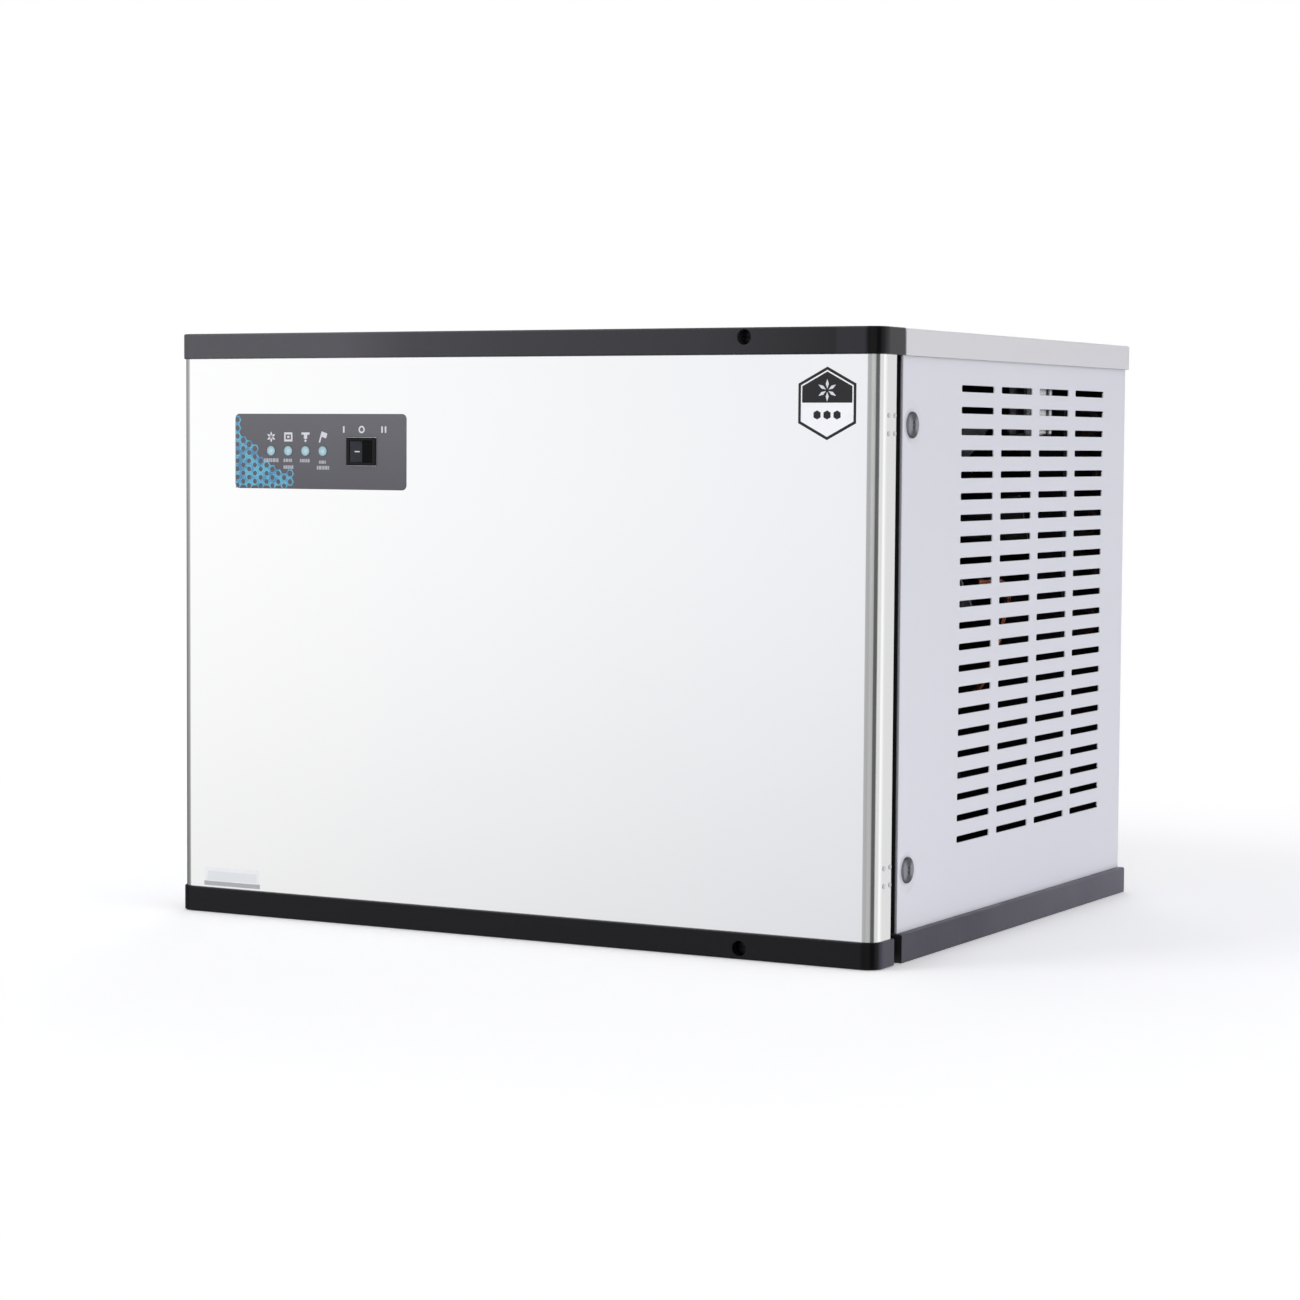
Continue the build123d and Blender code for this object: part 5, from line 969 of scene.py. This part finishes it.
def bar(x, z, width, height, turn=0.0):
    """A rectangle about (x, z), turned by degrees, its corners listed anticlockwise."""
    corners = np.array(((-1, -1), (1, -1), (1, 1), (-1, 1))) * (width / 2, height / 2)
    c, s = math.cos(math.radians(turn)), math.sin(math.radians(turn))
    return corners @ np.array(((c, s), (-s, c))) + (x, z)


def spokes_round(degrees):
    """Directions (cosine, sine) at the given turns."""
    turns = np.radians(degrees)
    return np.stack((np.cos(turns), np.sin(turns)), axis=1)


def ring_parts(x, z, outer, inner, steps=24):
    """A ring as quads between an inner and an outer circle."""
    spokes = spokes_round(np.linspace(0, 360, steps + 1))
    near, far = spokes * inner + (x, z), spokes * outer + (x, z)
    return list(np.stack((near[:-1], far[:-1], far[1:], near[1:]), axis=1))


def honeycomb(left, bottom, top, side, edge):
    """Hexagon rings on a lattice: column step 1.5 sides, row step root 3 sides, odd columns half a row up.

    The field's right edge is a line of x over z, and a ring's wall thins as its middle nears that edge. Rings
    are cut at the field's other edges, and what shrinks to nothing there is left out.
    """
    columns, rows = np.meshgrid(np.arange(20), np.arange(12), indexing="ij")
    x = left + (columns * 1.5 + 0.45) * side
    z = bottom + (rows + 0.3 + 0.5 * (columns % 2)) * math.sqrt(3) * side
    room = (np.interp(z, *zip(*edge)) - x) / side - 0.55 * ((columns * 5 + rows * 3) % 3)
    kept = (room > 0) & (z < top)
    spokes, gap_share = spokes_round(np.arange(6) * 60), 0.02
    middles = np.stack((x[kept], z[kept]), axis=1)[:, None, :]
    wall = (0.26 + 0.16 * np.clip(room[kept] / 3, 0, 1))[:, None, None]
    near = middles + spokes * side * (1 - gap_share - wall)
    far = middles + spokes * side * (1 - gap_share)
    ring = np.stack((near, far, np.roll(far, -1, axis=1), np.roll(near, -1, axis=1)), axis=2)
    quads = np.clip(ring, (left, bottom), (1.0, top)).reshape(-1, 4, 2)
    first, second = (quads[:, 2:] - quads[:, :2]).transpose(1, 0, 2)
    area = (first[:, 0] * second[:, 1] - first[:, 1] * second[:, 0]) / 2
    return list(quads[area > (side / 100) ** 2])


def crystal(x, z, reach, girth):
    """An ice crystal of six diamonds about (x, z), one every 60 degrees, each girth times its reach wide."""
    diamond = np.array(((0, 0.14), (girth / 2, 0.56), (0, 1), (-girth / 2, 0.56))) * reach
    across = spokes_round(np.arange(6) * 60)[:, None, :]
    out = spokes_round(np.arange(6) * 60 + 90)[:, None, :]
    return list(diamond[:, :1] * across + diamond[:, 1:] * out + (x, z))


def block_row(x, z, width, height, parts):
    """A row of plain blocks: widths follow 1, 1.5, 0.8 in turn, and gaps take about a fifth."""
    shares = np.array([(1.0, 1.5, 0.8)[i % 3] for i in range(parts)])
    rooms = width * shares / shares.sum()
    middles = x - width / 2 + np.cumsum(rooms) - rooms / 2
    return [bar(middle, z, room * 0.78, height) for middle, room in zip(middles, rooms)]


thin_ink = {"grain": 2600.0, "depth": 0.00001, "rub": 0.0, "dust": 0.0, "patch": 0.05}


def ink(name, shade, rough=0.42):
    """Screen ink: nearly flat colour with the faint mottle of a dried film."""
    return moulded(name, shade, rough, **thin_ink)


def blue_finish(name):
    """Blue screen ink in two passes: noise clouds it from cyan to a deeper blue every few millimetres."""
    finish, tree, shader, body, _ = surface(name, tone(104, 182, 210), 0.42, **thin_ink)
    deepened = clouded(tree, body, tone(72, 124, 168), 170.0, 2.0, 0.8, 0.4, 0.62)
    fill(tree, shader, {"Base Color": deepened})
    return finish


film_face, ink_thick = -0.30844, 0.00003
pale_ink = ink("pale_ink", tone(214, 215, 220))
block_ink = ink("block_ink", tone(176, 177, 184))
field_edge = [(0.4200, -0.238), (0.4330, -0.242), (0.4380, -0.262), (0.4520, -0.276)]
field_edge += [(0.4600, -0.290), (0.4700, -0.300), (0.4915, -0.303)]
field_left, field_bottom, field_top, cell_side = -0.3126, 0.4199, 0.4915, 0.0046
cells = honeycomb(field_left, field_bottom, field_top, cell_side, field_edge)
comb = flat_print("overlay_honeycomb", cells, film_face, blue_finish("blue_ink"))
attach(comb, "front_panel")

first_lens_x, lens_pitch, lens_z, sign_z = -0.2705, 0.0201, 0.4562, 0.4696
lens_x = first_lens_x + lens_pitch * np.arange(4)
flake = crystal(lens_x[0], sign_z, 0.0054, 0.44)
store = [bar(lens_x[1], sign_z + side * 0.0034, 0.0096, 0.0020) for side in (-1, 1)]
store += [bar(lens_x[1] + side * 0.0040, sign_z, 0.0018, 0.0048) for side in (-1, 1)]
store += [bar(lens_x[1], sign_z, 0.0026, 0.0022)]
tap = [bar(lens_x[2], sign_z + 0.0034, 0.0094, 0.0022), bar(lens_x[2], sign_z + 0.0003, 0.0038, 0.0040)]
tap += [bar(lens_x[2], sign_z - 0.0036, 0.0022, 0.0022, 45.0)]
brush = [bar(lens_x[3] - 0.0030, sign_z - 0.0022, 0.0017, 0.0062, -18.0)]
brush += [bar(lens_x[3] + 0.0012, sign_z + 0.0022, 0.0070, 0.0050, -18.0)]
mark_z, stroke, mark_height = 0.4771, 0.0018, 0.0062
switch_marks = [bar(-0.1860, mark_z, stroke, mark_height), *ring_parts(-0.1655, mark_z, 0.0036, 0.0020)]
switch_marks += [bar(x, mark_z, stroke, mark_height) for x in (-0.1423, -0.1383)]
signs = flake + store + tap + brush + switch_marks
marks = flat_print("overlay_marks", signs, film_face - ink_thick, pale_ink)
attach(marks, "front_panel")
block_rows = [
    (lens_x[0] + 0.0002, lens_z - 0.0092, 0.0172, 0.0036, 7),
    (lens_x[1] - 0.0006, lens_z - 0.0092, 0.0104, 0.0032, 4),
    (lens_x[1] + 0.0002, lens_z - 0.0158, 0.0120, 0.0034, 5),
    (lens_x[2] - 0.0008, lens_z - 0.0094, 0.0118, 0.0032, 5),
    (lens_x[3] - 0.0004, lens_z - 0.0106, 0.0084, 0.0030, 3),
    (lens_x[3] + 0.0002, lens_z - 0.0160, 0.0148, 0.0036, 6),
]
blocks = [block for row in block_rows for block in block_row(*row)]
block_print = flat_print("overlay_blocks", blocks, film_face - ink_thick, block_ink)
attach(block_print, "front_panel")


# Lenses
# Four round light windows of tinted acrylic, unlit, paler in the middle where the board shows through.
def lens_finish(name):
    """Tinted acrylic: the colour pales towards each lens's own middle, and a thin dark rim closes it."""
    core_radius, rim_radius, tint = 0.0042, 0.0048, tone(150, 186, 196)
    finish, tree, shader, body, _ = surface(name, tint, 0.2, 1200.0, 0.00001, rub=0.1, dust=0.0)
    parts = parts_of(tree, object_place(tree))
    from_edge = maths(tree, "ADD", parts["X"], lens_pitch / 2 - first_lens_x)
    aside = maths(tree, "SUBTRACT", maths(tree, "FLOORED_MODULO", from_edge, lens_pitch), lens_pitch / 2)
    upward = maths(tree, "SUBTRACT", parts["Z"], lens_z)
    plane = put(tree, "ShaderNodeCombineXYZ", {0: aside, 1: 0.0, 2: upward}).outputs[0]
    away = vectors(tree, "LENGTH", plane)
    glow = between(tree, scaled(tree, away, 0.7, 0.0, 0.0, core_radius), body, tone(206, 226, 230))
    rimmed = between(tree, scaled(tree, away, 0.0, 0.7, core_radius, rim_radius), glow, tone(84, 100, 108))
    fill(tree, shader, {"Base Color": rimmed, "Coat Weight": 0.4})
    return finish


dress(lens_finish("lens_acrylic"), "led_lenses")


# Rocker switch
# A black nylon body and rocker. The rocker is polished, and one short white bar is printed on its left face.
# Its left half is charcoal as painted light and its right half black as painted shade.
def rocker_finish(name):
    """Rocker: charcoal over its left half as painted light, where the white bar is, and black over its right
    half as painted shade.
    """
    finish, tree, shader, body, _ = surface(name, tone(54, 55, 60), 0.3, 2000.0, 0.00001, rub=0.2, dust=0.0)
    seam = (-0.16615, -0.16545)
    # Painted light on the left half and painted shade on the right half.
    painted_light_and_shade_halves = between(tree, axis_share(tree, "X", *seam), body, tone(4, 4, 7))
    fill(tree, shader, {"Base Color": painted_light_and_shade_halves, "Specular IOR Level": 0.07})
    return finish


bezel_nylon, tree, shader, *_ = surface("bezel_nylon", tone(12, 12, 13), 0.3, 2000.0, 0.00001, rub=0.12)
fill(tree, shader, {"Specular IOR Level": 0.2})
dress(bezel_nylon, "rocker_switch_body")
dress(rocker_finish("rocker_nylon"), "switch_rocker")


def rocker_mark(name, finish):
    """A short bar on the rocker's left face, whose depth runs evenly from the middle valley to the end."""
    middle, pivot, half = -0.1658, -0.3058, 0.0125
    valley, end, proud = 0.0014, 0.0036, 0.00005
    flat = bar(middle - 0.0050, 0.456, 0.0050, 0.0011)
    share = np.abs(flat[:, 0] - middle) / half
    y = pivot - (valley + (end - valley) * share) - proud
    return mesh_piece(name, np.stack((flat[:, 0], y, flat[:, 1]), axis=-1), [[0, 1, 2, 3]], finish)


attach(rocker_mark("rocker_mark", pale_ink), "rocker")


# Stickers
# Two vinyl stickers on the steel: a six-sided one with a dark upper half at the right, and a pale strip at
# the lower left. They are built up in thin layers, paper first and inks above it.
def hexagon(x, z, width, height):
    """A hexagon with a corner at the top, anticlockwise from the right shoulder."""
    shoulder, half = height * 0.27, width / 2
    upper = np.array(((half, shoulder), (0, height / 2), (-half, shoulder)))
    return np.concatenate((upper, -upper)) + (x, z)


def above(outline, level):
    """The part of a convex outline above a level, cut in proportion where a side crosses it."""
    kept = []
    for (x0, z0), (x1, z1) in zip(outline, np.roll(outline, -1, axis=0)):
        if z0 >= level:
            kept.append((x0, z0))
        if (z0 - level) * (z1 - level) < 0:
            kept.append((x0 + (x1 - x0) * (level - z0) / (z1 - z0), level))
    return np.array(kept)


badge = np.array((0.3266, 0.5020))
strip_x, steel_face = -0.3180, -0.30801
paper_lift, ink_lift, second_lift, third_lift = 0.00004, 0.00007, 0.00010, 0.00013
dark_ink = ink("dark_ink", tone(22, 22, 26), 0.6)
paper_white = ink("paper_white", tone(243, 243, 246), 0.5)
strip_pale = ink("strip_pale", tone(230, 234, 235), 0.5)
strip_grey = ink("strip_grey", tone(178, 179, 184), 0.5)
upper_half = above(hexagon(*badge, 0.0492, 0.0564), badge[1] + 0.0006)
badge_crystal = crystal(*(badge + (0, 0.0116)), 0.0100, 0.30)
badge_cells = [hexagon(*(badge + (0.0098 * i, -0.0102)), 0.0070, 0.0081) for i in (-1, 0, 1)]
layers = [
    ("badge_edge", [hexagon(*badge, 0.0568, 0.0650)], dark_ink, paper_lift),
    ("badge_paper", [hexagon(*badge, 0.0516, 0.0592)], paper_white, ink_lift),
    ("badge_upper", [upper_half], dark_ink, second_lift),
    ("badge_crystal", badge_crystal, pale_ink, third_lift),
    ("badge_cells", badge_cells, dark_ink, second_lift),
    ("pale_strip", [bar(strip_x, 0.0350, 0.0640, 0.0180)], paper_white, paper_lift),
    ("pale_strip_field", [bar(strip_x, 0.0362, 0.0590, 0.0088)], strip_pale, ink_lift),
    ("pale_strip_foot", [bar(strip_x, 0.0286, 0.0668, 0.0042)], strip_grey, ink_lift),
]
for label, outlines, finish, lift in layers:
    sticker = flat_print(label, outlines, steel_face - lift, finish)
    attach(sticker, "front_panel")
